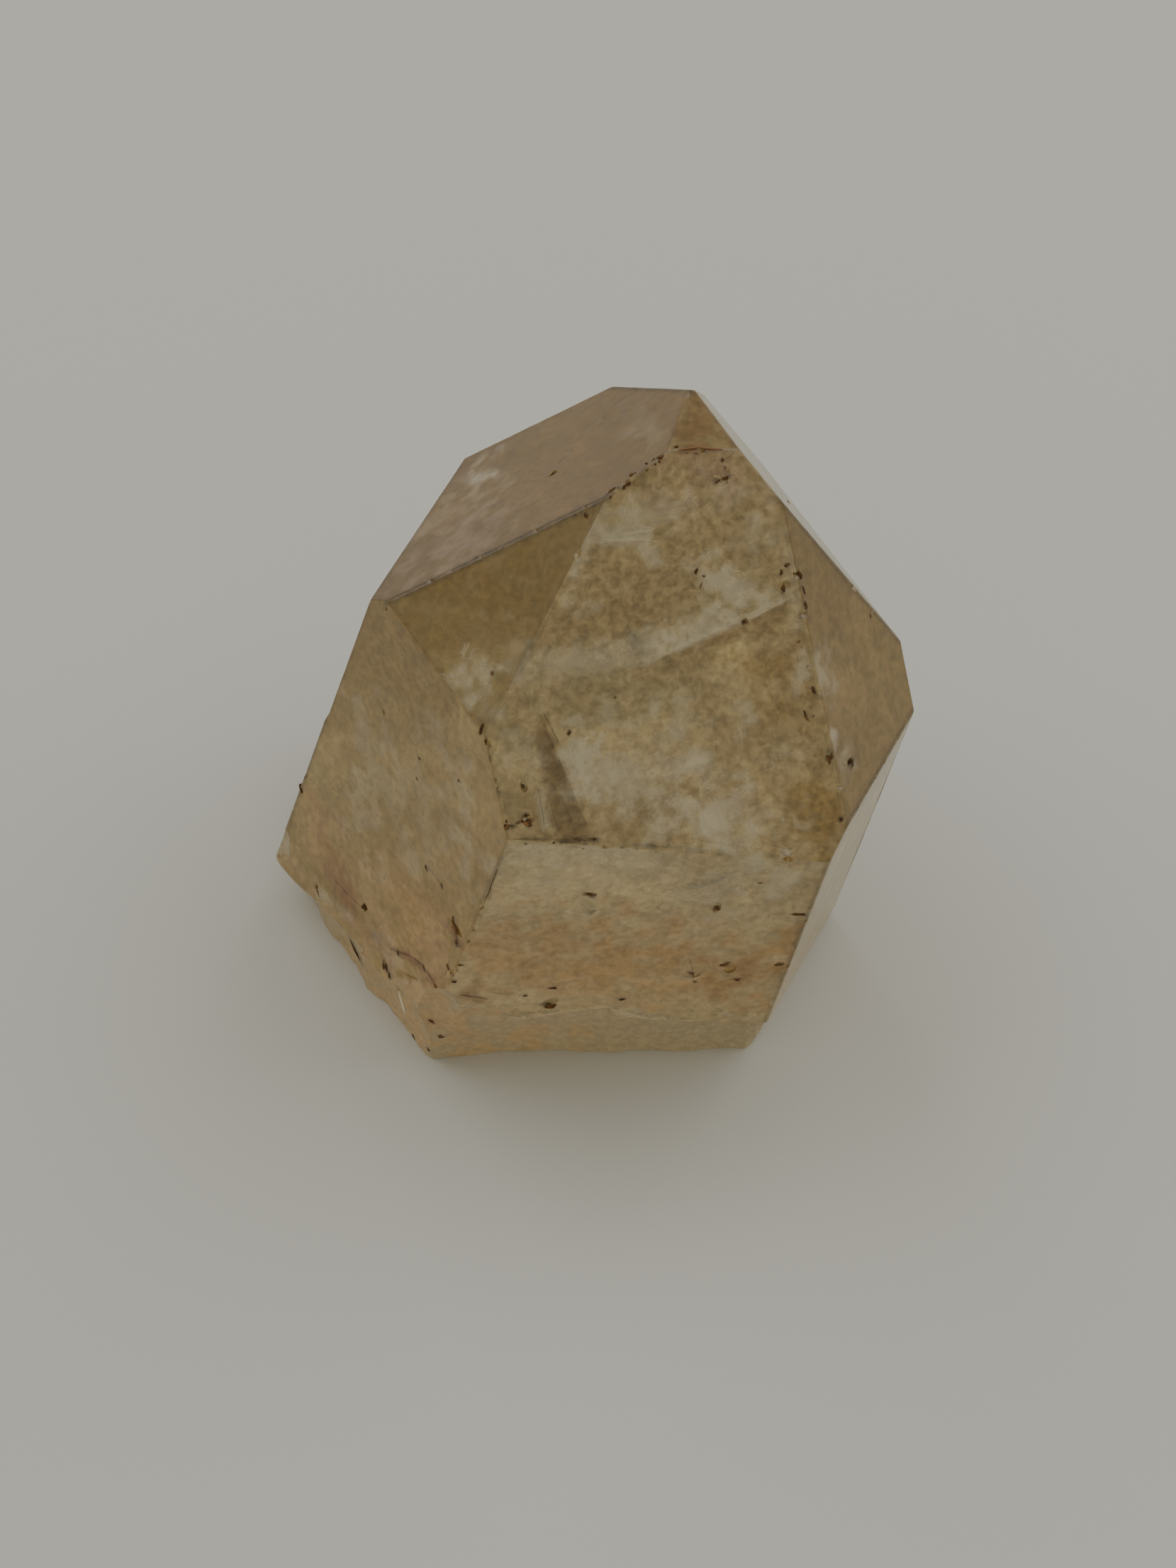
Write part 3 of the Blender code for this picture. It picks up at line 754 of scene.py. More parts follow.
STROKES = (
    Stroke(seen("r1", 905, 940), seen("r1", 1052, 879), 1.6, Stain.MILK, 1.0, Sides.CRISP, 0.15),
    Stroke(seen("r1", 1048, 879), seen("r1", 1120, 841), 0.35, Stain.MILK, 0.8, Sides.CRISP),
    Stroke(seen("r1", 960, 918), seen("r1", 1118, 850), -0.7, Stain.SHADE, 0.35, Sides.CRISP),
    Stroke(seen("r1", 700, 948), seen("r1", 930, 917), 1.1, Stain.MILK, 0.35),
    Stroke(seen("r1", 830, 932), seen("r1", 940, 900), 0.9, Stain.MILK, 0.4),
    Stroke(seen("r1", 846, 768), seen("r1", 928, 765), 0.5, Stain.MILK, 0.75, Sides.CRISP, 0.6),
    Stroke(seen("r1", 875, 756), seen("r1", 925, 745), 0.35, Stain.MILK, 0.7, Sides.SOFT, 0.6),
    Stroke(seen("r1", 885, 735), seen("r1", 908, 716), 0.4, Stain.MILK, 0.6, Sides.SOFT, 0.6),
    Stroke(seen("r1", 856, 712), seen("r1", 800, 822), 0.5, Stain.MILK, 0.4),
    # The wedge on r1: painted shade, a dark filled stroke here and a dark sheet under it among the
    # cracks.
    Stroke(seen("r1", 838, 1188), seen("r1", 764, 1006), 1.5, Stain.SHADE, 0.6, Sides.FILLED, 0.0, 0.4),
    Stroke(seen("r1", 805, 1105), seen("r1", 768, 1010), 0.9, Stain.SHADE, 0.5, Sides.FILLED, 0.0, 0.5),
    Stroke(seen("r1", 834, 1140), seen("r1", 800, 1038), -1.8, Stain.MILK, 0.8, Sides.CRISP, 0.1),
    Stroke(seen("r1", 745, 1125), seen("r1", 765, 1183), 0.3, Stain.SHADE, 0.4),
    Stroke(seen("r1", 775, 1120), seen("r1", 790, 1180), 0.3, Stain.SHADE, 0.4),
    Stroke(seen("r1", 758, 1110), seen("r1", 772, 1175), 0.3, Stain.MILK, 0.35),
    Stroke(seen("r1", 1127, 900), seen("r1", 1150, 1000), 0.35, Stain.SHADE, 0.35),
    Stroke(seen("r1", 1134, 915), seen("r1", 1122, 985), 0.3, Stain.MILK, 0.35),
    Stroke(seen("r1", 1112, 760), seen("r1", 1128, 900), 0.5, Stain.MILK, 0.3, Sides.SOFT, 0.6),
    Stroke(seen("r1", 1103, 1208), seen("r1", 1123, 1201), 0.3, Stain.MILK, 0.95, Sides.CRISP, 0.1),
    Stroke(seen("r1", 955, 635), seen("r1", 1022, 632), 0.2, Stain.RUST, 0.7),
    Stroke(seen("r1", 886, 683), seen("r1", 935, 690), 0.25, Stain.SHADE, 0.4),
    Stroke(seen("r1", 720, 1186), seen("r1", 840, 1184), 0.3, Stain.SHADE, 0.5),
    Stroke(seen("r1", 700, 1017), seen("r1", 712, 998), 0.35, Stain.MILK, 0.4),
    Stroke(seen("r2", 668, 996), seen("r2", 641, 938), -0.7, Stain.MILK, 0.5, Sides.CRISP, 0.5),
    Stroke(seen("r2", 645, 938), seen("r2", 715, 936), -0.5, Stain.MILK, 0.4, Sides.CRISP, 0.6),
    Stroke(seen("r3", 760, 751), seen("r3", 850, 700), 0.3, Stain.SHADE, 0.35),
    # m1's top edge: a painted highlight, a bright line along the edge.
    Stroke(seen("m1", 716, 1193), seen("m1", 915, 1199), -0.3, Stain.MILK, 0.85, Sides.CRISP, 0.2),
    Stroke(seen("m1", 716, 1196), seen("m1", 905, 1203), -1.6, Stain.MILK, 0.35, Sides.CRISP),
    Stroke(seen("m1", 1002, 1258), seen("m1", 1037, 1220), -1.6, Stain.MILK, 0.45, Sides.CRISP),
    Stroke(
        seen("m1", 690, 1447), seen("m1", 742, 1439), 0.7, Stain.MILK, 1.0, Sides.CRISP, past_rim=True
    ),
    Stroke(
        seen("m1", 736, 1440), seen("m1", 790, 1430), 0.6, Stain.MILK, 0.9, Sides.CRISP, past_rim=True
    ),
    Stroke(
        seen("m1", 868, 1428), seen("m1", 925, 1440), 0.7, Stain.MILK, 1.0, Sides.CRISP, past_rim=True
    ),
    Stroke(
        seen("m1", 920, 1440), seen("m1", 985, 1443), 0.6, Stain.MILK, 0.9, Sides.CRISP, past_rim=True
    ),
    Stroke(
        seen("m1", 1010, 1430), seen("m1", 1068, 1443), 0.5, Stain.MILK, 0.8, Sides.CRISP, past_rim=True
    ),
    Stroke(seen("m1", 648, 1404), seen("m1", 690, 1411), 0.4, Stain.RUST, 0.65),
    Stroke(seen("m2", 548, 1339), seen("m2", 582, 1351), 0.4, Stain.RUST, 0.75),
    Stroke(seen("m2", 580, 1350), seen("m2", 600, 1368), 0.4, Stain.RUST, 0.75),
    Stroke(seen("m2", 600, 1368), seen("m2", 614, 1391), 0.4, Stain.RUST, 0.75),
    Stroke(seen("m2", 566, 1434), seen("m2", 553, 1397), 0.4, Stain.MILK, 0.9, Sides.CRISP),
    Stroke(seen("m2", 597, 1216), seen("m2", 626, 1252), 0.25, Stain.SHADE, 0.5),
    Stroke(seen("m2", 638, 1296), seen("m2", 646, 1336), 0.45, Stain.RUST, 0.7),
    Stroke(seen("m2", 704, 1215), seen("m2", 680, 1275), 0.3, Stain.SHADE, 0.5),
    Stroke(seen("m2", 440, 1250), seen("m2", 500, 1300), 0.5, Stain.MILK, 0.4, Sides.SOFT, 0.6),
    Stroke(seen("m2", 530, 985), seen("m2", 546, 1010), 0.25, Stain.SHADE, 0.35),
    Stroke(seen("m2", 450, 1215), seen("m2", 492, 1268), 0.6, Stain.RUST, 0.35),
)


@dataclass(frozen=True)
class HiddenClouds:
    """Clouds for the faces that the photo doesn't show, like those that it does. Millimetres."""

    seed: int = 11
    count: int = 7
    tip_middle: float = 8.0
    prism_middle: float = -1.0
    across: float = 5.0
    up: float = 6.0
    stains: tuple[Stain, ...] = (Stain.MILK, Stain.MILK, Stain.ORANGE, Stain.SAGE, Stain.HONEY)
    radius: tuple[float, float] = (0.8, 2.6)
    strength: tuple[float, float] = (0.25, 0.5)
    stretch: tuple[float, float] = (1.0, 2.0)
    heading: tuple[float, float] = (0.0, 180.0)

    def clouds(self) -> Iterable[Cloud]:
        """Draws the clouds face by face.

        Yields:
            Each cloud.
        """
        draw = random.Random(self.seed)
        for face in HIDDEN_FACES:
            middle = self.tip_middle if face[0] == "r" else self.prism_middle
            for _ in range(self.count):
                across = draw.uniform(-self.across, self.across)
                up = middle + draw.uniform(-self.up, self.up)
                stain = draw.choice(self.stains)
                size, strength = draw.uniform(*self.radius), draw.uniform(*self.strength)
                stretch, heading = draw.uniform(*self.stretch), draw.uniform(*self.heading)
                yield Cloud(Spot(face, across, up), size, stain, strength, stretch, heading)


TINT_AND_SHADE_ATTRIBUTE = "face_tint_and_shade"
MILK_ATTRIBUTE = "trapped_milk"
HAZE_ATTRIBUTE = "smooth_haze"
FRACTURE_ATTRIBUTE = "fracture"


def read(items: bpy.types.bpy_prop_collection, name: str, width: int = 1) -> np.ndarray:
    """Reads one property of every item of a mesh.

    Args:
        items: The vertices, edges, loops or polygons.
        name: The property.
        width: How many numbers it holds.

    Returns:
        One row for each item, or one number where the width is 1.
    """
    whole = name in ("vertices", "vertex_index", "edge_index", "loop_start", "loop_total")
    values = np.empty(len(items) * width, np.int32 if whole else np.float32)
    items.foreach_get(name, values)
    return values if width == 1 else values.reshape(-1, width)


def step(values: np.ndarray, low: float, high: float) -> np.ndarray:
    """A smooth step from 0 at `low` to 1 at `high`."""
    share = np.clip((values - low) / (high - low), 0.0, 1.0)
    return share * share * (3.0 - 2.0 * share)


def sectors_of(mesh: bpy.types.Mesh, sound: float = 0.12, break_top: float = 7.0) -> np.ndarray:
    """Finds the crystal face that each polygon belongs to.

    Args:
        mesh: The crystal's mesh.
        sound: How far inside its face, in millimetres, a polygon still counts as part of it.
        break_top: The height in millimetres above which every polygon belongs to a face.

    Returns:
        The face's number in HABIT.names() for each polygon, or -1 on the break.
    """
    places = read(mesh.polygons, "center", 3) / MM
    nearest = (read(mesh.polygons, "normal", 3) @ HABIT.outward().T).argmax(axis=1)
    gap = HABIT.gaps(places)[np.arange(len(nearest)), nearest]
    return np.where((gap < sound) | (places[:, 2] > break_top), nearest, -1)


@dataclass
class Painter:
    """Works out the tint with its painted light and shade, the milk and the haze at every corner of the
    crystal's polygons.

    The mesh is the crystal's, already refined. Pitches and reaches are in millimetres. A fray is
    how much of the ragged pattern goes into a mark's sides or ends.
    """

    mesh: bpy.types.Mesh
    pattern: Fractal = Fractal(0.9, 2.1, 4)
    ragged_pitch: float = 1.1
    fine_pitch: float = 0.275
    cloud_fray: float = 1.5
    cloud_fade: tuple[float, float] = (1.25, 0.15)
    end_fray: float = 0.1
    end_fade: tuple[float, float] = (-0.02, 0.12)
    wobble: float = 0.12
    crispness: float = 0.1
    crisp_fray: float = 0.8
    soft_fray: float = 0.5
    soft_core: float = 0.2
    broken_share: float = 0.5
    smooth_share: float = 0.5
    edge_reach: float = 0.28
    edge_shade: float = 0.07
    dark_edge_core: float = 0.05
    dark_edge_shade: float = 0.45
    worn_reach: tuple[float, float] = (0.25, 0.1)
    worn_share: float = 0.4

    def __post_init__(self) -> None:
        """Takes the places and sectors of the mesh's corners."""
        vertex = read(self.mesh.loops, "vertex_index")
        self.places = (read(self.mesh.vertices, "co", 3) / MM)[vertex]
        self.ragged = self.waves(self.ragged_pitch, vertex)
        self.fine = self.waves(self.fine_pitch, vertex)
        self.sector = np.repeat(sectors_of(self.mesh), read(self.mesh.polygons, "loop_total"))
        self.gaps = HABIT.gaps(self.places)
        self.tint = np.empty((len(vertex), 4), np.float32)
        self.milk, self.haze = np.zeros((2, len(vertex)), np.float32)

    def waves(self, pitch: float, vertex: np.ndarray) -> np.ndarray:
        """The ragged pattern at every corner.

        Args:
            pitch: Millimetres from wave to wave.
            vertex: The vertex at each corner.

        Returns:
            One number about 0 for each corner.
        """
        scale = 1.0 / (pitch * MM)
        values = [self.pattern.at(vert.co * scale) for vert in self.mesh.vertices]
        return np.array(values, np.float32)[vertex]

    def paint(self) -> None:
        """Paints each face's tint with its painted light and shade, then the clouds and strokes and the
        painted shade along the edges, and stores the four attributes.
        """
        self.ground(-1, BREAK)
        for number, name in enumerate(HABIT.names()):
            self.ground(number, FACE_TINTS_AND_SHADE[name])
        for mark in (*CLOUDS, *HiddenClouds().clouds(), *STROKES):
            self.add(mark)
        self.paint_edge_shade()
        tints = self.mesh.color_attributes.new(TINT_AND_SHADE_ATTRIBUTE, "FLOAT_COLOR", "CORNER")
        tints.data.foreach_set("color", self.tint.ravel())
        worn = step(np.partition(self.gaps, 1, axis=1)[:, 1], *self.worn_reach)
        fracture = np.where(self.sector < 0, 1.0, self.worn_share * worn).astype(np.float32)
        for name, values in (
            (MILK_ATTRIBUTE, self.milk),
            (HAZE_ATTRIBUTE, self.haze),
            (FRACTURE_ATTRIBUTE, fracture),
        ):
            layer = self.mesh.attributes.new(name, "FLOAT", "CORNER")
            layer.data.foreach_set("value", np.clip(values, 0.0, 1.0))

    def ground(self, number: int, sector: TintAndShade) -> None:
        """Lays a face's tint, its painted light and shade included, with its cloudiness as the fourth
        value.
        """
        self.tint[self.sector == number] = (*sector.stone.value, sector.cloudy)

    def paint_edge_shade(self) -> None:
        """Paints shade along the edges between faces, and more along some of them than others."""
        names = HABIT.names()
        second = np.partition(self.gaps, 1, axis=1)[:, 1]
        shade = self.edge_shade * step(second, self.edge_reach, 0.0)
        dark_reach = (self.edge_reach, self.dark_edge_core)
        for first, other in PAINTED_SHADE_EDGES:
            pair = self.gaps[:, [names.index(first), names.index(other)]].max(axis=1)
            shade = np.maximum(shade, self.dark_edge_shade * step(pair, *dark_reach))
        self.tint[:, :3] *= 1.0 - (shade * (self.sector >= 0))[:, None]

    def add(self, mark: Cloud | Stroke) -> None:
        """Lays one mark over the corners of its own face, and of the break if it goes past the rim.

        Args:
            mark: The mark.
        """
        covered = self.sector == HABIT.names().index(mark.face)
        if mark.past_rim:
            covered |= self.sector < 0
        here = np.flatnonzero(covered)
        masking = self.cloud_mask if isinstance(mark, Cloud) else self.stroke_mask
        mask = masking(mark, here) * mark.strength
        milky = mark.stain is Stain.MILK
        plain = mask * (1.0 - mark.flaky) if milky else mask
        plain = plain[:, None]
        colour = np.array(mark.stain.value, np.float32)
        self.tint[here, :3] = self.tint[here, :3] * (1.0 - plain) + colour * plain
        if milky:
            broken = mask * (self.broken_share + mark.flaky)
            smooth = mask * (1.0 - mark.flaky) * self.smooth_share
            self.milk[here] = np.maximum(self.milk[here], broken)
            self.haze[here] = np.maximum(self.haze[here], smooth)

    def offsets(self, spot: Spot, heading: float, here: np.ndarray) -> np.ndarray:
        """Where corners lie from a spot.

        Args:
            spot: The spot.
            heading: Degrees from the face's level direction towards uphill.
            here: The corners' numbers.

        Returns:
            Millimetres along the heading and beside it, with a row for each corner.
        """
        turn = HABIT.frame_on(spot.face, heading)
        away = self.places[here] - np.array(spot.point() / MM)
        return away @ np.array(turn.to_3x3())[:, :2]

    def cloud_mask(self, cloud: Cloud, here: np.ndarray) -> np.ndarray:
        """How much a cloud covers its corners.

        Args:
            cloud: The cloud.
            here: The corners' numbers.

        Returns:
            A share of 0 to 1 for each corner.
        """
        local = self.offsets(cloud.spot, cloud.heading, here)
        local /= cloud.radius * np.array([cloud.stretch, 1.0])
        away = np.hypot(local[:, 0], local[:, 1]) + self.cloud_fray * self.ragged[here]
        return step(away, *self.cloud_fade)

    def stroke_mask(self, stroke: Stroke, here: np.ndarray) -> np.ndarray:
        """How much a stroke covers its corners.

        Args:
            stroke: The stroke.
            here: The corners' numbers.

        Returns:
            A share of 0 to 1 for each corner.
        """
        run = Vector((stroke.end.across - stroke.start.across, stroke.end.up - stroke.start.up))
        heading = math.degrees(math.atan2(run.y, run.x))
        local = self.offsets(stroke.start, heading, here)
        along = local[:, 0] / run.length
        frayed = along + self.end_fray * self.ragged[here]
        ends = step(frayed, *self.end_fade) * step(1.0 - frayed, *self.end_fade)
        width = stroke.width * (1.0 + (stroke.taper - 1.0) * np.clip(along, 0.0, 1.0))
        beside = (local[:, 1] + self.wobble * self.ragged[here]) / width
        if stroke.sides is Sides.SOFT:
            spread = np.abs(beside) + self.soft_fray * self.fine[here]
            return ends * step(spread, 1.0, self.soft_core)
        edge = self.crispness / np.abs(width)
        near = step(beside, -edge, edge)
        if stroke.sides is Sides.FILLED:
            return ends * near * step(beside, 1.0 + edge, 1.0 - edge)
        return ends * near * step(beside + self.crisp_fray * self.fine[here], 1.0, 0.0)


@dataclass(frozen=True)
class MilkPattern:
    """Billows of milk with thin bright curls in them. Pitches are in cells per metre."""

    name: str = "milk_and_curls"
    billow_pitch: float = 620.0
    billow_band: tuple[float, float] = (0.36, 0.66)
    billow_share: float = 0.8
    curl_pitch: float = 900.0
    curl_band: tuple[float, float] = (0.455, 0.495)
    bundle_pitch: float = 520.0
    bundle_band: tuple[float, float] = (0.47, 0.7)
    fold: float = 0.5

    def group(self) -> bpy.types.NodeTree:
        """Makes the node group that turns a place into the pattern, once.

        Returns:
            The node group.
        """
        if self.name in bpy.data.node_groups:
            return bpy.data.node_groups[self.name]
        group = bpy.data.node_groups.new(self.name, "ShaderNodeTree")
        for socket, way, kind in (
            ("Place", "INPUT", "NodeSocketVector"),
            ("Pattern", "OUTPUT", "NodeSocketFloat"),
        ):
            group.interface.new_socket(name=socket, in_out=way, socket_type=kind)
        links = Links(group)
        place = links.node("NodeGroupInput").outputs["Place"]
        billows = links.noise(self.billow_pitch, detail=8.0, warp=0.6, where=place, rough=0.62)
        billows = links.ramp(billows, *self.billow_band)
        ridge = links.node("ShaderNodeMath", operation="PINGPONG")
        swirls = links.noise(self.curl_pitch, detail=2.5, warp=1.6, where=place)
        links.join(swirls, ridge.inputs[0])
        ridge.inputs[1].default_value = self.fold
        lines = links.ramp(ridge.outputs[0], *self.curl_band)
        bundles = links.noise(self.bundle_pitch, detail=2.0, warp=0.3, where=place)
        bundles = links.ramp(bundles, *self.bundle_band)
        curls = links.maths("MULTIPLY", lines, bundles)
        soft = links.maths("MULTIPLY", billows, self.billow_share)
        pattern = links.maths("MAXIMUM", soft, curls)
        links.join(pattern, links.node("NodeGroupOutput").inputs["Pattern"])
        return group


def milk_share(links: Links, gain: float) -> bpy.types.NodeSocket:
    """How much milk a place holds, in a material's tree.

    Args:
        links: The material's nodes.
        gain: How strong the billows and curls are.

    Returns:
        The painted milk, broken up into billows and curls, and the smooth haze, from 0 to 1.
    """
    pattern = links.node("ShaderNodeGroup", node_tree=MilkPattern().group())
    links.join(links.place(), pattern.inputs["Place"])
    milk = links.node("ShaderNodeAttribute", attribute_name=MILK_ATTRIBUTE)
    haze = links.node("ShaderNodeAttribute", attribute_name=HAZE_ATTRIBUTE)
    broken = links.maths("MULTIPLY", milk.outputs["Fac"], pattern.outputs["Pattern"])
    return links.maths("ADD", links.maths("MULTIPLY", broken, gain), haze.outputs["Fac"])


@dataclass(frozen=True)
class CitrineFinish:
    """Smoky golden quartz: clear but hazy, with satin faces."""

    haze: float = 0.28
    refraction: float = 1.544
    roughness: tuple[float, float] = (0.12, 0.26)
    fracture_roughness: float = 0.5
    absorption: Colour = (0.62, 0.42, 0.08)
    density: float = 28.0
    mottle: tuple[float, float] = (0.83, 1.15)
    mottle_pitch: float = 560.0
    mottle_band: tuple[float, float] = (0.32, 0.68)
    clear_grain: tuple[float, float] = (0.84, 1.15)
    cloudy_grain: tuple[float, float] = (0.66, 1.32)
    grain_pitch: float = 2600.0
    grain_band: tuple[float, float] = (0.3, 0.7)
    milk: Colour = (0.97, 0.91, 0.71)
    milk_gain: float = 1.6
    satin_pitch: float = 900.0
    etching: float = 0.35
    etching_pitch: float = 3200.0
    etching_depth: float = 0.00002

    def make(self) -> bpy.types.Material:
        """Builds the material.

        Returns:
            The material, see-through by plain transmission with plain absorption inside.
        """
        material, links, shader = new_material("citrine_quartz")
        shader.inputs["Transmission Weight"].default_value = 1.0 - self.haze
        shader.inputs["IOR"].default_value = self.refraction
        shader.inputs["Metallic"].default_value = 0.0
        place = links.place()
        links.join(self.colour(links, place), shader.inputs["Base Color"])
        satin = links.noise(self.satin_pitch, detail=5.0, warp=0.4, where=place)
        fracture = links.node("ShaderNodeAttribute", attribute_name=FRACTURE_ATTRIBUTE)
        satin = links.span(satin, self.roughness)
        gloss = links.blend(fracture.outputs["Fac"], satin, self.fracture_roughness)
        links.join(gloss, shader.inputs["Roughness"])
        bump = links.node("ShaderNodeBump")
        bump.inputs["Strength"].default_value = self.etching
        bump.inputs["Distance"].default_value = self.etching_depth
        etched = links.noise(self.etching_pitch, detail=4.0, warp=0.2, where=place)
        links.join(etched, bump.inputs["Height"])
        links.join(bump.outputs["Normal"], shader.inputs["Normal"])
        volume = links.node("ShaderNodeVolumeAbsorption")
        volume.inputs["Color"].default_value = rgba(self.absorption)
        volume.inputs["Density"].default_value = self.density
        output = material.node_tree.nodes["Material Output"]
        links.join(volume.outputs["Volume"], output.inputs["Volume"])
        return material

    def colour(self, links: Links, place: bpy.types.NodeSocket) -> bpy.types.NodeSocket:
        """The painted tint with its painted light and shade, mottled where it is cloudy, with milk over
        it.

        Args:
            links: The material's nodes.
            place: The Object coordinates.

        Returns:
            The colour.
        """
        tint = links.node("ShaderNodeAttribute", attribute_name=TINT_AND_SHADE_ATTRIBUTE)
        coarse = links.noise(self.mottle_pitch, detail=10.0, warp=0.3, where=place, rough=0.66)
        shade = links.span(links.ramp(coarse, *self.mottle_band), self.mottle)
        cloudy = tint.outputs["Alpha"]
        shade = links.blend(cloudy, 1.0, shade)
        fine = links.noise(self.grain_pitch, detail=5.0, warp=0.3, where=place, rough=0.62)
        fine = links.ramp(fine, *self.grain_band)
        clear, dense = links.span(fine, self.clear_grain), links.span(fine, self.cloudy_grain)
        grain = links.blend(cloudy, clear, dense)
        both = links.node("ShaderNodeMath", operation="MULTIPLY")
        links.join(shade, both.inputs[0])
        links.join(grain, both.inputs[1])
        mottled = links.node("ShaderNodeVectorMath", operation="SCALE")
        links.join(tint.outputs["Color"], mottled.inputs[0])
        links.join(both.outputs[0], mottled.inputs["Scale"])
        return links.mix(milk_share(links, self.milk_gain), mottled.outputs[0], rgba(self.milk))


@dataclass
class CrystalBody:
    """The crystal itself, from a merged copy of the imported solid. Millimetres and degrees."""

    weld: float = 0.001
    passes: int = 8
    longest_edge: float = 0.75
    longest_painted_edge: float = 0.36
    longest_base_edge: float = 0.4
    on_face: float = 0.03
    face_relief: float = 0.01
    face_pitch: float = 2.2
    break_relief: float = 0.05
    break_pitch: float = 1.6
    base_relief: float = 0.6
    base_pitch: float = 4.8
    base_top: float = 1.2
    base_steepness: float = -0.6
    base_rim: tuple[float, float] = (0.5, 2.6)
    ripples: Fractal = Fractal(0.8, 2.1, 3)
    ripple_middle: float = 0.5
    crag_waves: Fractal = Fractal(0.9, 2.2, 4)
    crag_offset: float = 0.8
    crag_gain: float = 1.6
    crag_share: float = 0.45
    crag_floor: float = 0.1
    smooth_angle: float = 6.0
    finish: CitrineFinish = field(default_factory=CitrineFinish)

    def build(self) -> bpy.types.Object:
        """Builds and dresses the crystal.

        Returns:
            The finished object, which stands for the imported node.
        """
        body = self.copy_of_solid()
        self.refine(body, self.longest_edge, lambda mesh: np.ones(len(mesh.polygons), bool))
        self.refine(body, self.longest_base_edge, self.under)
        self.refine(body, self.longest_painted_edge, self.painted)
        self.roughen(body)
        Painter(body.data).paint()
        self.smooth(body)
        body.data.materials.append(self.finish.make())
        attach(body, BODY)
        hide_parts(NODE)
        LOG.info("crystal: %d faces", len(body.data.polygons))
        return body

    def copy_of_solid(self) -> bpy.types.Object:
        """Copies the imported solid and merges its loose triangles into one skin.

        Returns:
            The copy.
        """
        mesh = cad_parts[NODE].data.copy()
        mesh.materials.clear()
        body = placed("quartz_point", mesh)
        select_only(body)
        bpy.ops.object.mode_set(mode="EDIT")
        bpy.ops.mesh.select_all(action="SELECT")
        bpy.ops.mesh.remove_doubles(threshold=self.weld * MM)
        bpy.ops.object.mode_set(mode="OBJECT")
        return body

    def under(self, mesh: bpy.types.Mesh) -> np.ndarray:
        """Which polygons are on the underside of the break."""
        low = read(mesh.polygons, "center", 3)[:, 2] < self.base_top * MM
        return low & (read(mesh.polygons, "normal", 3)[:, 2] < self.base_steepness)

    def painted(self, mesh: bpy.types.Mesh) -> np.ndarray:
        """Which polygons belong to a face that carries painted marks."""
        faces = {cloud.spot.face for cloud in CLOUDS}
        numbers = [HABIT.names().index(face) for face in sorted(faces)]
        return np.isin(sectors_of(mesh), numbers)

    def refine(
        self,
        body: bpy.types.Object,
        longest: float,
        chosen: Callable[[bpy.types.Mesh], np.ndarray],
    ) -> None:
        """Splits long edges until none is left over the given length.

        Args:
            body: The mesh object.
            longest: The longest edge that stays, in millimetres.
            chosen: Tells which polygons of the mesh are refined.
        """
        select_only(body)
        bpy.context.tool_settings.mesh_select_mode = (False, True, False)
        for _ in range(self.passes):
            mesh = body.data
            places = read(mesh.vertices, "co", 3)
            ends = read(mesh.edges, "vertices", 2)
            length = np.linalg.norm(places[ends[:, 0]] - places[ends[:, 1]], axis=1)
            wanted = np.zeros(len(mesh.edges), bool)
            corners = np.repeat(chosen(mesh), read(mesh.polygons, "loop_total"))
            wanted[read(mesh.loops, "edge_index")[corners]] = True
            wanted &= length > longest * MM
            if not wanted.any():
                break
            mesh.vertices.foreach_set("select", np.zeros(len(mesh.vertices), bool))
            mesh.polygons.foreach_set("select", np.zeros(len(mesh.polygons), bool))
            mesh.edges.foreach_set("select", wanted)
            bpy.ops.object.mode_set(mode="EDIT")
            bpy.ops.mesh.subdivide(number_cuts=1)
            bpy.ops.mesh.select_all(action="SELECT")
            bpy.ops.mesh.quads_convert_to_tris(quad_method="SHORTEST_DIAGONAL")
            bpy.ops.object.mode_set(mode="OBJECT")

    def rim_of_base(
        self, mesh: bpy.types.Mesh, below: np.ndarray, above: np.ndarray
    ) -> kdtree.KDTree:
        """The vertices at the rim of the underside, for finding the nearest one.

        Args:
            mesh: The crystal's mesh.
            below: Which vertices touch the underside.
            above: Which vertices touch anything else.

        Returns:
            The tree of the rim's places.
        """
        rim = kdtree.KDTree(int((below & above).sum()))
        for index in np.flatnonzero(below & above):
            rim.insert(mesh.vertices[index].co, int(index))
        rim.balance()
        return rim

    def roughen(self, body: bpy.types.Object) -> None:
        """Ripples the faces slightly and breaks up the fractured surfaces.

        Args:
            body: The crystal.
        """
        mesh = body.data
        corners = read(mesh.loops, "vertex_index")
        totals = read(mesh.polygons, "loop_total")
        below, above = np.zeros((2, len(mesh.vertices)), bool)
        under = np.repeat(self.under(mesh), totals)
        below[corners[under]] = True
        above[corners[~under]] = True
        rim = self.rim_of_base(mesh, below, above)
        gap = HABIT.gaps(read(mesh.vertices, "co", 3) / MM).min(axis=1)
        for vert, normal, low, inside in zip(
            mesh.vertices, read(mesh.vertices, "normal", 3), below & ~above, gap
        ):
            spot = vert.co / MM
            if low:
                share = (rim.find(vert.co)[2] / MM - self.base_rim[0]) / self.base_rim[1]
                vert.co.z += self.base_relief * MM * within_one(share) * self.crags(spot)
            elif spot.z > self.on_face:
                broken = inside > self.on_face
                height = self.break_relief if broken else self.face_relief
                pitch = self.break_pitch if broken else self.face_pitch
                wave = self.ripples.at(spot / pitch)
                vert.co -= Vector(normal) * height * MM * within_one(self.ripple_middle + wave)

    def crags(self, spot: Vector) -> float:
        """How high the broken underside rises.

        Args:
            spot: The spot in millimetres.

        Returns:
            The height as a share of the relief, from 0 to 1.
        """
        waves = self.crag_waves
        bold = noise.ridged_multi_fractal(
            spot / self.base_pitch,
            waves.dimension,
            waves.ratio,
            waves.layers,
            self.crag_offset,
            self.crag_gain,
            noise_basis="PERLIN_ORIGINAL",
        )
        return within_one(bold * self.crag_share - self.crag_floor)

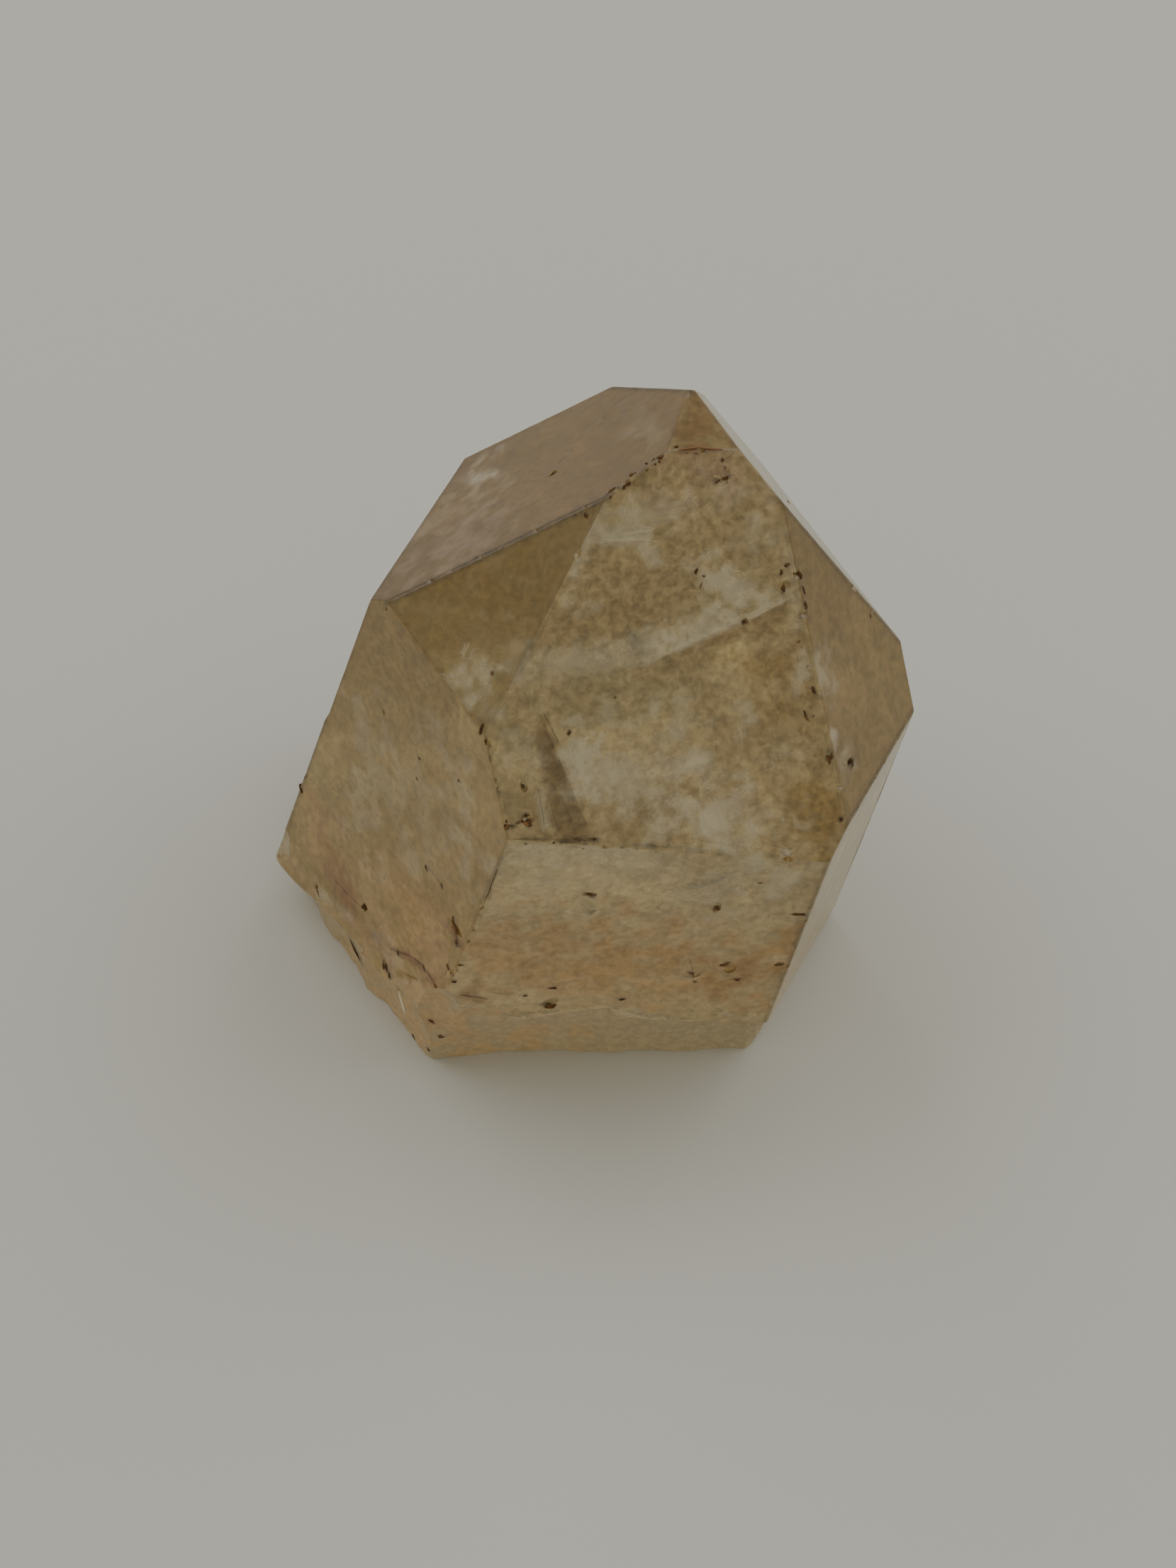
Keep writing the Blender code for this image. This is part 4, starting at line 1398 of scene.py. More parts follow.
    def smooth(self, body: bpy.types.Object) -> None:
        """Shades the gentle ripples smooth and leaves the worn edges crisp.

        Args:
            body: The crystal.
        """
        select_only(body)
        bpy.ops.object.shade_smooth_by_angle(angle=math.radians(self.smooth_angle))
        weights = body.modifiers.new("flat_faces", "WEIGHTED_NORMAL")
        weights.keep_sharp = True
        bpy.ops.object.modifier_apply(modifier=weights.name)


def joined_copies(
    name: str,
    template: bpy.types.Object,
    places: Iterable[Matrix],
    jitter: float,
    knobs: float = 2.3,
    shift: tuple[float, float] = (1.7, 0.9),
) -> bpy.types.Object:
    """Makes one mesh of many copies of a small shape and removes the shape.

    Args:
        name: The new object's name.
        template: The shape, one unit in radius, at the origin.
        places: Where each copy goes.
        jitter: How far a copy's points move about, as a share of its size.
        knobs: How many knobs there are to a radius, roughly.
        shift: How far the pattern of knobs moves from one copy to the next.

    Returns:
        The new object.
    """
    points = [vert.co.copy() for vert in template.data.vertices]
    faces = [tuple(polygon.vertices) for polygon in template.data.polygons]
    spots: list[Vector] = []
    skins: list[tuple[int, ...]] = []
    for number, place in enumerate(places):
        start = len(spots)
        for point in points:
            push = noise.noise(point * knobs + Vector((number * shift[0], number * shift[1], 0)))
            spots.append(place @ (point * (1.0 + jitter * push)))
        skins.extend(tuple(start + index for index in face) for face in faces)
    mesh = bpy.data.meshes.new(name)
    mesh.from_pydata(spots, [], skins)
    bpy.data.objects.remove(template)
    return placed(name, mesh)


def ball_template(detail: int) -> bpy.types.Object:
    """A faceted ball one unit in radius, from which grains and threads are made."""
    deselect_all()
    bpy.ops.mesh.primitive_ico_sphere_add(subdivisions=detail, radius=1.0)
    return bpy.context.active_object


@dataclass(frozen=True)
class MilkFinish:
    """White gas and water trapped in the quartz, which hides what lies behind where it is dense."""

    colour: Colour = (0.95, 0.86, 0.63)
    gain: float = 1.7
    roughness: float = 0.5

    def make(self) -> bpy.types.Material:
        """Builds the material.

        Returns:
            The material, solid only where there is milk.
        """
        material, links, shader = new_material("milk_wisps")
        shader.inputs["Base Color"].default_value = rgba(self.colour)
        shader.inputs["Roughness"].default_value = self.roughness
        links.join(milk_share(links, self.gain), shader.inputs["Alpha"])
        return material


@dataclass
class MilkWisps:
    """The milk under the faces: crumpled wisps, dense where it is painted. Millimetres."""

    least: float = 0.03
    lowest: float = 0.5
    shallow: float = 0.2
    deep: float = 0.5
    middle: float = 0.5
    pitch: float = 1.2
    skip: float = 0.02
    share_of_room: float = 0.3
    thickness: float = 0.01
    finish: MilkFinish = field(default_factory=MilkFinish)

    def build(self, body: bpy.types.Object) -> bpy.types.Object:
        """Builds the wisps from the milky polygons of the finished crystal.

        Args:
            body: The crystal.

        Returns:
            The wisps.
        """
        mesh = body.data.copy()
        mesh.materials.clear()
        wisps = placed("milk_wisps", mesh)
        self.cut_out_clear(wisps)
        self.sink(wisps, body)
        thicken(wisps, self.thickness)
        mesh.materials.append(self.finish.make())
        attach(wisps, BODY)
        LOG.info("milk wisps: %d faces", len(mesh.polygons))
        return wisps

    def cut_out_clear(self, wisps: bpy.types.Object) -> None:
        """Takes away the polygons that hold no milk, and those at the foot.

        Args:
            wisps: A copy of the crystal's skin.
        """
        mesh = wisps.data
        milk = read(mesh.attributes[MILK_ATTRIBUTE].data, "value")
        milk = np.maximum(milk, read(mesh.attributes[HAZE_ATTRIBUTE].data, "value"))
        clear = np.maximum.reduceat(milk, read(mesh.polygons, "loop_start")) < self.least
        clear |= read(mesh.polygons, "center", 3)[:, 2] < self.lowest * MM
        select_only(wisps)
        bpy.context.tool_settings.mesh_select_mode = (False, False, True)
        mesh.vertices.foreach_set("select", np.zeros(len(mesh.vertices), bool))
        mesh.edges.foreach_set("select", np.zeros(len(mesh.edges), bool))
        mesh.polygons.foreach_set("select", clear)
        bpy.ops.object.mode_set(mode="EDIT")
        bpy.ops.mesh.delete(type="FACE")
        bpy.ops.object.mode_set(mode="OBJECT")

    def sink(self, wisps: bpy.types.Object, body: bpy.types.Object) -> None:
        """Moves the wisps below the skin, by no more than a share of the room there.

        Args:
            wisps: The wisps, still in the skin.
            body: The crystal.
        """
        mesh = wisps.data
        for vert, normal in zip(mesh.vertices, read(mesh.vertices, "normal", 3)):
            inward = -Vector(normal)
            wave = within_one(self.middle + noise.noise(vert.co / (self.pitch * MM)))
            depth = self.shallow + (self.deep - self.shallow) * wave
            hit, place, _, _ = body.ray_cast(vert.co + inward * self.skip * MM, inward)
            room = (place - vert.co).length / MM if hit else 0.0
            vert.co += inward * min(depth, room * self.share_of_room) * MM


class Ore(Enum):
    """What a thread is made of: its colour."""

    PALE = (0.96, 0.88, 0.68)
    RUSTY = (0.22, 0.115, 0.05)
    SMOKY = (0.16, 0.10, 0.045)


@dataclass(frozen=True)
class Thread:
    """A hair-thin crack filled with something, just under a face. Millimetres.

    `bow` is how far its middle bends to the left.
    """

    start: Spot
    end: Spot
    ore: Ore
    radius: float = 0.03
    bow: float = 0.0


THREADS = (
    Thread(seen("r1", 846, 768), seen("r1", 886, 762), Ore.PALE, 0.055, 0.03),
    Thread(seen("r1", 884, 763), seen("r1", 929, 765), Ore.PALE, 0.07, 0.05),
    Thread(seen("r1", 874, 757), seen("r1", 902, 753), Ore.PALE, 0.05, 0.03),
    Thread(seen("r1", 898, 752), seen("r1", 928, 746), Ore.PALE, 0.06, -0.04),
    Thread(seen("r1", 886, 735), seen("r1", 910, 716), Ore.PALE, 0.035, 0.05),
    Thread(seen("r1", 872, 742), seen("r1", 888, 724), Ore.PALE, 0.025, 0.05),
    Thread(seen("r1", 800, 842), seen("r1", 812, 832), Ore.PALE, 0.035, 0.1),
    Thread(seen("r1", 800, 844), seen("r1", 812, 854), Ore.PALE, 0.03, -0.08),
    Thread(seen("r1", 1018, 802), seen("r1", 1028, 808), Ore.PALE, 0.09, -0.05),
    Thread(seen("r1", 1022, 826), seen("r1", 1032, 830), Ore.PALE, 0.075, 0.05),
    Thread(seen("r1", 1036, 808), seen("r1", 1052, 812), Ore.PALE, 0.05, 0.08),
    Thread(seen("r1", 1010, 850), seen("r1", 1018, 860), Ore.PALE, 0.075, -0.05),
    Thread(seen("r1", 1038, 838), seen("r1", 1048, 846), Ore.PALE, 0.06, 0.06),
    Thread(seen("r1", 1036, 852), seen("r1", 1058, 862), Ore.PALE, 0.042, -0.08),
    Thread(seen("r1", 1005, 820), seen("r1", 1014, 846), Ore.PALE, 0.028, 0.08),
    Thread(seen("r1", 1056, 876), seen("r1", 1088, 861), Ore.PALE, 0.06, 0.02),
    Thread(seen("r1", 1086, 861), seen("r1", 1121, 843), Ore.PALE, 0.065, 0.04),
    Thread(seen("r1", 800, 1040), seen("r1", 816, 1090), Ore.PALE, 0.04, -0.06),
    Thread(seen("r1", 816, 1090), seen("r1", 831, 1138), Ore.PALE, 0.035, 0.03),
    Thread(seen("r1", 1044, 1026), seen("r1", 1048, 1064), Ore.PALE, 0.04, 0.06),
    Thread(seen("r1", 1040, 1030), seen("r1", 1036, 1050), Ore.PALE, 0.025, -0.05),
    Thread(seen("r1", 960, 1008), seen("r1", 978, 1004), Ore.PALE, 0.02, 0.12),
    Thread(seen("r1", 980, 1008), seen("r1", 968, 1020), Ore.PALE, 0.02, 0.1),
    Thread(seen("r1", 978, 1040), seen("r1", 984, 1062), Ore.PALE, 0.025, -0.06),
    Thread(seen("r1", 1030, 978), seen("r1", 1040, 1000), Ore.PALE, 0.025, 0.06),
    Thread(seen("r1", 1054, 1156), seen("r1", 1070, 1166), Ore.PALE, 0.03, 0.06),
    Thread(seen("r1", 990, 1118), seen("r1", 1002, 1104), Ore.PALE, 0.03, 0.06),
    Thread(seen("r1", 893, 1030), seen("r1", 901, 1018), Ore.PALE, 0.025, 0.05),
    Thread(seen("r1", 1104, 1208), seen("r1", 1122, 1198), Ore.PALE, 0.05, -0.08),
    Thread(seen("r0", 1174, 1028), seen("r0", 1181, 1054), Ore.PALE, 0.04, -0.06),
    Thread(seen("r2", 648, 940), seen("r2", 668, 962), Ore.PALE, 0.03, 0.1),
    Thread(seen("r2", 672, 938), seen("r2", 694, 942), Ore.PALE, 0.03, 0.08),
    Thread(seen("r2", 662, 972), seen("r2", 676, 990), Ore.PALE, 0.03, -0.06),
    Thread(seen("r3", 656, 690), seen("r3", 676, 668), Ore.PALE, 0.035, 0.06),
    Thread(seen("r3", 674, 682), seen("r3", 700, 660), Ore.PALE, 0.03, 0.05),
    # The next two pale threads lie along m1's top edge: a painted highlight.
    Thread(seen("m1", 716, 1193), seen("m1", 790, 1193), Ore.PALE, 0.03, 0.02),
    Thread(seen("m1", 800, 1194), seen("m1", 880, 1198), Ore.PALE, 0.025, 0.02),
    Thread(seen("m1", 812, 1284), seen("m1", 830, 1290), Ore.PALE, 0.03, 0.08),
    Thread(seen("m1", 692, 1422), seen("m1", 738, 1419), Ore.PALE, 0.075, 0.04),
    Thread(seen("m1", 736, 1419), seen("m1", 778, 1417), Ore.PALE, 0.05, -0.04),
    Thread(seen("m1", 872, 1420), seen("m1", 922, 1430), Ore.PALE, 0.075, -0.05),
    Thread(seen("m1", 920, 1430), seen("m1", 982, 1434), Ore.PALE, 0.06, 0.04),
    Thread(seen("m1", 1012, 1424), seen("m1", 1066, 1435), Ore.PALE, 0.05, -0.04),
    Thread(seen("m2", 554, 1398), seen("m2", 565, 1434), Ore.PALE, 0.05, 0.06),
    Thread(seen("m2", 452, 1262), seen("m2", 474, 1284), Ore.PALE, 0.035, 0.05),
    Thread(seen("r1", 955, 636), seen("r1", 988, 632), Ore.RUSTY, 0.05, 0.03),
    Thread(seen("r1", 986, 632), seen("r1", 1022, 634), Ore.RUSTY, 0.055, -0.03),
    Thread(seen("r1", 1008, 650), seen("r1", 1034, 646), Ore.RUSTY, 0.03, 0.05),
    Thread(seen("r1", 1119, 1198), seen("r1", 1086, 1192), Ore.SMOKY, 0.02, 0.03),
    Thread(seen("r1", 765, 1004), seen("r1", 790, 1052), Ore.SMOKY, 0.03, 0.04),
    Thread(seen("r1", 758, 1108), seen("r1", 768, 1172), Ore.SMOKY, 0.03, 0.05),
    Thread(seen("r1", 776, 1130), seen("r1", 790, 1176), Ore.SMOKY, 0.025, -0.04),
    Thread(seen("r1", 790, 1120), seen("r1", 812, 1176), Ore.SMOKY, 0.025, 0.03),
    Thread(seen("r1", 720, 1185), seen("r1", 780, 1184), Ore.SMOKY, 0.03, 0.02),
    Thread(seen("r1", 780, 1184), seen("r1", 846, 1186), Ore.SMOKY, 0.045, -0.02),
    Thread(seen("m2", 548, 1339), seen("m2", 582, 1351), Ore.RUSTY, 0.055, 0.05),
    Thread(seen("m2", 581, 1350), seen("m2", 601, 1368), Ore.RUSTY, 0.06, 0.04),
    Thread(seen("m2", 600, 1368), seen("m2", 614, 1392), Ore.RUSTY, 0.06, 0.05),
    Thread(seen("m2", 560, 1366), seen("m2", 588, 1384), Ore.RUSTY, 0.02, -0.05),
    Thread(seen("m2", 638, 1292), seen("m2", 647, 1338), Ore.RUSTY, 0.07, -0.05),
    Thread(seen("m2", 633, 1354), seen("m2", 627, 1378), Ore.RUSTY, 0.035, 0.05),
    Thread(seen("m2", 598, 1218), seen("m2", 624, 1252), Ore.SMOKY, 0.03, 0.05),
    Thread(seen("m2", 470, 1240), seen("m2", 512, 1282), Ore.RUSTY, 0.025, -0.06),
    Thread(seen("m2", 703, 1216), seen("m2", 681, 1276), Ore.SMOKY, 0.025, 0.03),
    Thread(seen("m1", 648, 1404), seen("m1", 690, 1411), Ore.RUSTY, 0.055, 0.06),
    Thread(seen("m1", 690, 1400), seen("m1", 740, 1404), Ore.RUSTY, 0.02, -0.05),
    Thread(seen("m1", 972, 1352), seen("m1", 978, 1384), Ore.RUSTY, 0.025, 0.05),
    Thread(seen("m1", 1008, 1390), seen("m1", 1040, 1380), Ore.RUSTY, 0.02, 0.05),
)


@dataclass(frozen=True)
class ThreadFinish:
    """What fills the threads."""

    ore: Ore
    roughness: float = 0.6
    gloss: float = 0.2

    def make(self) -> bpy.types.Material:
        """Builds the material.

        Returns:
            The material, one plain colour.
        """
        material, _, shader = new_material(f"{self.ore.name.lower()}_thread")
        shader.inputs["Base Color"].default_value = rgba(self.ore.value)
        shader.inputs["Roughness"].default_value = self.roughness
        shader.inputs["Specular IOR Level"].default_value = self.gloss
        return material


@dataclass
class Threads:
    """All the threads, one mesh for each filling. Millimetres."""

    dark_depth: float = 0.06
    pale_depth: float = 0.26
    detail: int = 3
    wave: float = 0.05
    wave_pitch: float = 0.5

    def build(self) -> None:
        """Builds every thread from a ball that is drawn out along it."""
        ball = ball_template(self.detail)
        points = [vert.co.copy() for vert in ball.data.vertices]
        faces = [tuple(polygon.vertices) for polygon in ball.data.polygons]
        bpy.data.objects.remove(ball)
        for ore in Ore:
            chosen = [thread for thread in THREADS if thread.ore is ore]
            spots = [self.drawn(thread, point) for thread in chosen for point in points]
            starts = [number * len(points) for number in range(len(chosen))]
            skins = [tuple(start + index for index in face) for start in starts for face in faces]
            mesh = bpy.data.meshes.new(f"{ore.name.lower()}_threads")
            mesh.from_pydata(spots, [], skins)
            mesh.materials.append(ThreadFinish(ore).make())
            made = placed(mesh.name, mesh)
            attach(made, BODY)
        LOG.info("threads: %d", len(THREADS))

    def drawn(self, thread: Thread, point: Vector) -> Vector:
        """Where a point of the unit ball goes along a thread.

        Args:
            thread: The thread.
            point: The point, whose x runs from -1 at the start to 1 at the end.

        Returns:
            The place in metres.
        """
        start, end, side = run_between(thread.start, thread.end)
        middle = start.lerp(end, (point.x + 1.0) / 2.0)
        wave = self.wave * noise.noise(middle.to_3d() / self.wave_pitch)
        bend = thread.bow * (1.0 - point.x**2) + wave + thread.radius * point.y
        flat = middle + side * bend
        depth = self.pale_depth if thread.ore is Ore.PALE else self.dark_depth
        return HABIT.point(thread.start.face, flat.x, flat.y, depth - thread.radius * point.z)


class Veil(Enum):
    """Kinds of thin sheet inside: colour and how much of the light it stops at its densest."""

    MILKY = ((0.95, 0.88, 0.68), 1.0)
    # The smoky sheet serves only the wedge: a dark sheet of painted shade.
    SMOKY = ((0.12, 0.07, 0.02), 0.7)


DENSITY_ATTRIBUTE = "sheet_density"


@dataclass(frozen=True)
class Crack:
    """A healed crack: a thin crumpled sheet with a sharp side. Millimetres and degrees.

    The sharp side runs from `start` to `end`, and the sheet spreads to its left by `width`, or to
    its right where that is negative, fading, while it dips away from the face.
    """

    name: str
    start: Spot
    end: Spot
    width: float
    depth: float
    dip: float
    veil: Veil
    strength: float
    fade: tuple[float, float] = (0.25, 0.25)


CRACKS = (
    Crack("long", seen("r1", 905, 940), seen("r1", 1118, 846), 1.7, 0.25, 30.0, Veil.MILKY, 1.0),
    Crack("tail", seen("r1", 730, 953), seen("r1", 925, 922), 1.1, 0.5, 25.0, Veil.MILKY, 0.45),
    Crack("glow", seen("r1", 834, 1140), seen("r1", 800, 1036), -2.2, 0.25, 30.0, Veil.MILKY, 1.0),
    # The wedge is no crack: a dark sheet of painted shade.
    Crack("shade_wedge", seen("r1", 836, 1180), seen("r1", 762, 1006), 2.0, 0.3, 20.0, Veil.SMOKY, 0.7),
    Crack("streak", seen("r1", 846, 766), seen("r1", 932, 762), 0.8, 0.2, 20.0, Veil.MILKY, 1.0),
    Crack("side", seen("r2", 668, 998), seen("r2", 644, 938), -1.8, 0.25, 25.0, Veil.MILKY, 0.7),
    Crack("shoulder", seen("r3", 655, 700), seen("r3", 712, 655), 0.9, 0.25, 20.0, Veil.MILKY, 0.7),
    Crack("patch", seen("m1", 1002, 1258), seen("m1", 1038, 1220), -2.4, 0.3, 25.0, Veil.MILKY, 0.6),
    Crack("back", Spot("m4", -3.0, 6.0), Spot("m4", 4.0, 10.0), 2.2, 0.4, 25.0, Veil.MILKY, 0.6),
    Crack("rear", Spot("m5", -4.0, 0.0), Spot("m5", 1.0, 7.0), 2.0, 0.4, 25.0, Veil.MILKY, 0.5),
)


@dataclass(frozen=True)
class VeilFinish:
    """A thin sheet that only partly hides what lies behind it."""

    veil: Veil
    roughness: float = 0.5
    grain_pitch: float = 1400.0
    grain_band: tuple[float, float] = (0.2, 0.6)

    def make(self) -> bpy.types.Material:
        """Builds the material.

        Returns:
            The material, as solid as the sheet is dense.
        """
        colour, most = self.veil.value
        material, links, shader = new_material(f"{self.veil.name.lower()}_veil")
        shader.inputs["Base Color"].default_value = rgba(colour)
        shader.inputs["Roughness"].default_value = self.roughness
        density = links.node("ShaderNodeAttribute", attribute_name=DENSITY_ATTRIBUTE)
        grain = links.noise(self.grain_pitch, detail=5.0, warp=0.5, where=links.place())
        grain = links.ramp(grain, *self.grain_band)
        share = links.maths("MULTIPLY", density.outputs["Fac"], grain)
        links.join(links.maths("MULTIPLY", share, most), shader.inputs["Alpha"])
        return material


@dataclass
class Cracks:
    """All the healed cracks. Millimetres."""

    grid: tuple[int, int] = (48, 16)
    thickness: float = 0.012
    crumple: float = 0.05
    crumple_pitch: float = 1.1
    falloff: float = 1.1

    def build(self) -> None:
        """Builds every crack."""
        finishes = {veil: VeilFinish(veil).make() for veil in Veil}
        for crack in CRACKS:
            sheet = self.sheet(crack)
            sheet.data.materials.append(finishes[crack.veil])
            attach(sheet, BODY)
        LOG.info("cracks: %d", len(CRACKS))

    def sheet(self, crack: Crack) -> bpy.types.Object:
        """Makes one crack: a grid laid along its sharp side, crumpled and given its thickness.

        Args:
            crack: The crack.

        Returns:
            The sheet, with its density painted on it.
        """
        deselect_all()
        columns, rows = self.grid
        bpy.ops.mesh.primitive_grid_add(x_subdivisions=columns, y_subdivisions=rows, size=1.0)
        sheet = bpy.context.active_object
        sheet.name = f"healed_crack_{crack.name}"
        sheet.data.name = sheet.name
        layer = sheet.data.attributes.new(DENSITY_ATTRIBUTE, "FLOAT", "POINT")
        face = crack.start.face
        start, end, side = run_between(crack.start, crack.end)
        dip = math.radians(crack.dip)
        for index, vert in enumerate(sheet.data.vertices):
            along, away = vert.co.x + 0.5, vert.co.y + 0.5
            flat = start.lerp(end, along) + side * crack.width * away * math.cos(dip)
            depth = crack.depth + abs(crack.width) * away * math.sin(dip)
            spot = HABIT.point(face, flat.x, flat.y, depth)
            push = self.crumple * noise.noise(spot / (self.crumple_pitch * MM))
            vert.co = spot + HABIT.axes(face)[0] * push * MM
            layer.data[index].value = self.density(crack, along, away)
        if crack.width < 0:
            sheet.data.flip_normals()
        thicken(sheet, self.thickness)
        return sheet

    def density(self, crack: Crack, along: float, away: float) -> float:
        """How dense the sheet is.

        Args:
            crack: The crack.
            along: The share of its length, from 0 to 1.
            away: The share of its width, from 0 at the sharp side to 1.

        Returns:
            The density, from 0 to 1.
        """
        first, last = crack.fade
        ends = min(along / first, (1.0 - along) / last, 1.0)
        return crack.strength * max(ends, 0.0) * (1.0 - away) ** self.falloff


@dataclass(frozen=True)
class Grain:
    """A grain of iron oxide set in a face. Millimetres and degrees."""

    spot: Spot
    radius: float
    stretch: float = 1.3
    heading: float = 0.0


GRAINS = (
    Grain(seen("r1", 738, 1109), 0.12),
    Grain(seen("r1", 742, 1150), 0.15, 1.5, 60.0),
    Grain(seen("r1", 746, 1163), 0.19, 1.3),
    Grain(seen("r1", 719, 1166), 0.12, 2.4),
    Grain(seen("r1", 733, 1160), 0.09, 2.2, 20.0),
    Grain(seen("r1", 1050, 877), 0.15, 1.4),
    Grain(seen("r1", 803, 1034), 0.1, 1.6, 80.0),
    Grain(seen("r1", 1102, 808), 0.1, 1.8, 85.0),
    Grain(seen("r1", 1105, 832), 0.12, 1.6, 85.0),
    Grain(seen("r1", 1111, 797), 0.12),
    Grain(seen("r1", 982, 806), 0.1, 1.6, 85.0),
    Grain(seen("r1", 993, 813), 0.07),
    Grain(seen("r1", 989, 826), 0.05, 4.0, 80.0),
    Grain(seen("r1", 1011, 679), 0.13, 1.8, 20.0),
    Grain(seen("r1", 1025, 674), 0.11, 1.8, 25.0),
    Grain(seen("r1", 1019, 649), 0.1, 1.4, 60.0),
    Grain(seen("r1", 1023, 661), 0.08, 1.8, 80.0),
    Grain(seen("r1", 815, 1184), 0.1, 2.6),
    Grain(seen("r1", 838, 1184), 0.09, 3.0),
    Grain(seen("r1", 868, 984), 0.06),
    Grain(seen("r0", 1127, 810), 0.12, 2.2, 80.0),
    Grain(seen("r0", 1134, 832), 0.11, 2.6, 78.0),
    Grain(seen("r0", 1137, 854), 0.14, 2.0, 82.0),
    Grain(seen("r0", 1127, 905), 0.08),
    Grain(seen("r0", 1148, 973), 0.12, 1.6, 80.0),
    Grain(seen("r0", 1138, 1012), 0.1, 3.6, 85.0),
    Grain(seen("r0", 1170, 1068), 0.24, 1.3, 60.0),
    Grain(seen("r0", 1199, 1075), 0.24, 1.3, 30.0),
    Grain(seen("r0", 1186, 1157), 0.13, 1.4),
    Grain(seen("r0", 1228, 868), 0.08, 2.0, 60.0),
    Grain(seen("m1", 1011, 1281), 0.16, 1.8, 20.0),
    Grain(seen("m1", 832, 1262), 0.14, 2.4, -20.0),
    Grain(seen("m1", 974, 1372), 0.14, 2.0, -30.0),
    Grain(seen("m1", 1024, 1360), 0.16, 1.8, 40.0),
    Grain(seen("m1", 1039, 1382), 0.14),
    Grain(seen("m1", 980, 1385), 0.1),
    Grain(seen("m1", 773, 1417), 0.18, 2.2, -10.0),
    Grain(seen("m1", 779, 1394), 0.12, 1.8),
    Grain(seen("m1", 878, 1410), 0.1, 2.2, 20.0),
    Grain(seen("m1", 1127, 1290), 0.13, 2.8, 5.0),
    Grain(seen("m1", 1099, 1361), 0.17, 1.6, 30.0),
    Grain(seen("m1", 1072, 1246), 0.1),
    Grain(seen("m1", 741, 1405), 0.1),
    Grain(seen("m2", 424, 1113), 0.17),
    Grain(seen("m2", 541, 1360), 0.13, 2.2, -70.0),
    Grain(seen("m2", 549, 1377), 0.13, 1.8, -60.0),
    Grain(seen("m2", 639, 1299), 0.11, 2.4, -70.0),
    Grain(seen("m2", 644, 1330), 0.12, 2.0, -70.0),
    Grain(seen("m2", 632, 1364), 0.12, 1.6, -60.0),
    Grain(seen("m2", 650, 1362), 0.1, 1.5),
    Grain(seen("m2", 641, 1385), 0.1),
    Grain(seen("m2", 601, 1225), 0.08, 2.4, -40.0),
    Grain(seen("m2", 623, 1250), 0.08, 2.0, -40.0),
    Grain(seen("m2", 515, 1280), 0.13),
    Grain(seen("m2", 501, 1340), 0.26, 3.2, -38.0),
    Grain(seen("m2", 448, 1258), 0.09, 3.6, -42.0),
    Grain(seen("m2", 545, 1366), 0.16, 1.8, -60.0),
    Grain(seen("m2", 561, 1345), 0.07, 2.6, -50.0),
    Grain(seen("m2", 598, 1366), 0.08, 2.6, -40.0),
    Grain(seen("m2", 614, 1391), 0.11),
    Grain(seen("m2", 608, 1441), 0.14, 1.6),
    Grain(seen("m2", 623, 1463), 0.13, 1.6, -40.0),
    Grain(seen("m2", 604, 1480), 0.13),
    Grain(seen("m2", 541, 1005), 0.08, 2.2, -60.0),
    Grain(seen("m2", 588, 1099), 0.09),
    Grain(seen("m2", 591, 1070), 0.07),
    Grain(seen("m2", 647, 1101), 0.08),
    Grain(seen("r3", 780, 669), 0.09, 2.2, 50.0),
    Grain(seen("r2", 827, 728), 0.14),
    Grain(seen("r2", 694, 950), 0.12),
    Grain(seen("r2", 678, 1030), 0.13, 2.4, -80.0),
    Grain(seen("r2", 545, 860), 0.07),
    Grain(Spot("m4", 2.0, 7.0), 0.16, 1.8, 40.0),
    Grain(Spot("m4", -2.6, 3.4), 0.14),
    Grain(Spot("m4", 3.6, 12.0), 0.11, 1.6, 70.0),
    Grain(Spot("m5", 1.0, 4.0), 0.15, 2.0, 70.0),
    Grain(Spot("m5", -3.0, 8.0), 0.12),
    Grain(Spot("m3", -2.0, -1.0), 0.13),
    Grain(Spot("m3", 1.0, -5.0), 0.16, 1.8, 30.0),
    Grain(Spot("r4", 0.5, 10.0), 0.12, 1.6),
    Grain(Spot("r5", 1.0, 9.0), 0.12),
)


@dataclass(frozen=True)
class Trail:
    """Small grains strewn along an edge between two corners, each named by its three faces."""

    start: tuple[str, str, str]
    end: tuple[str, str, str]
    span: tuple[float, float]
    count: int


TRAILS = (
    Trail(("m1", "m2", "r1"), ("m0", "m1", "r1"), (0.02, 0.3), 18),
    Trail(("m1", "m2", "r1"), ("m0", "m1", "r1"), (0.3, 0.95), 7),
    Trail(("r1", "r2", "r3"), ("r1", "r3", "top"), (0.0, 1.0), 34),
    Trail(("r1", "r2", "r3"), ("m2", "r2", "r3"), (0.0, 0.7), 20),
    Trail(("r1", "r3", "top"), ("r1", "r5", "top"), (0.0, 0.9), 10),
    Trail(("m0", "m1", "r1"), ("r0", "r1", "r5"), (0.3, 0.9), 16),
    Trail(("m1", "m2", "r1"), ("m2", "r1", "r2"), (0.0, 1.0), 10),
)


@dataclass(frozen=True)
class IronFinish:
    """Dark brown iron oxide, nearly black at its thickest."""

    dark: Colour = (0.085, 0.045, 0.02)
    rusty: Colour = (0.25, 0.13, 0.05)
    rust_pitch: float = 2600.0
    rust_band: tuple[float, float] = (0.4, 0.7)
    roughness: float = 0.8
    gloss: float = 0.05

    def make(self) -> bpy.types.Material:
        """Builds the material.

        Returns:
            The material, dark with rusty patches.
        """
        material, links, shader = new_material("iron_oxide")
        shader.inputs["Roughness"].default_value = self.roughness
        shader.inputs["Specular IOR Level"].default_value = self.gloss
        rust = links.noise(self.rust_pitch, detail=4.0, warp=0.4, where=links.place())
        rust = links.ramp(rust, *self.rust_band)
        colour = links.mix(rust, rgba(self.dark), rgba(self.rusty))
        links.join(colour, shader.inputs["Base Color"])
        return material


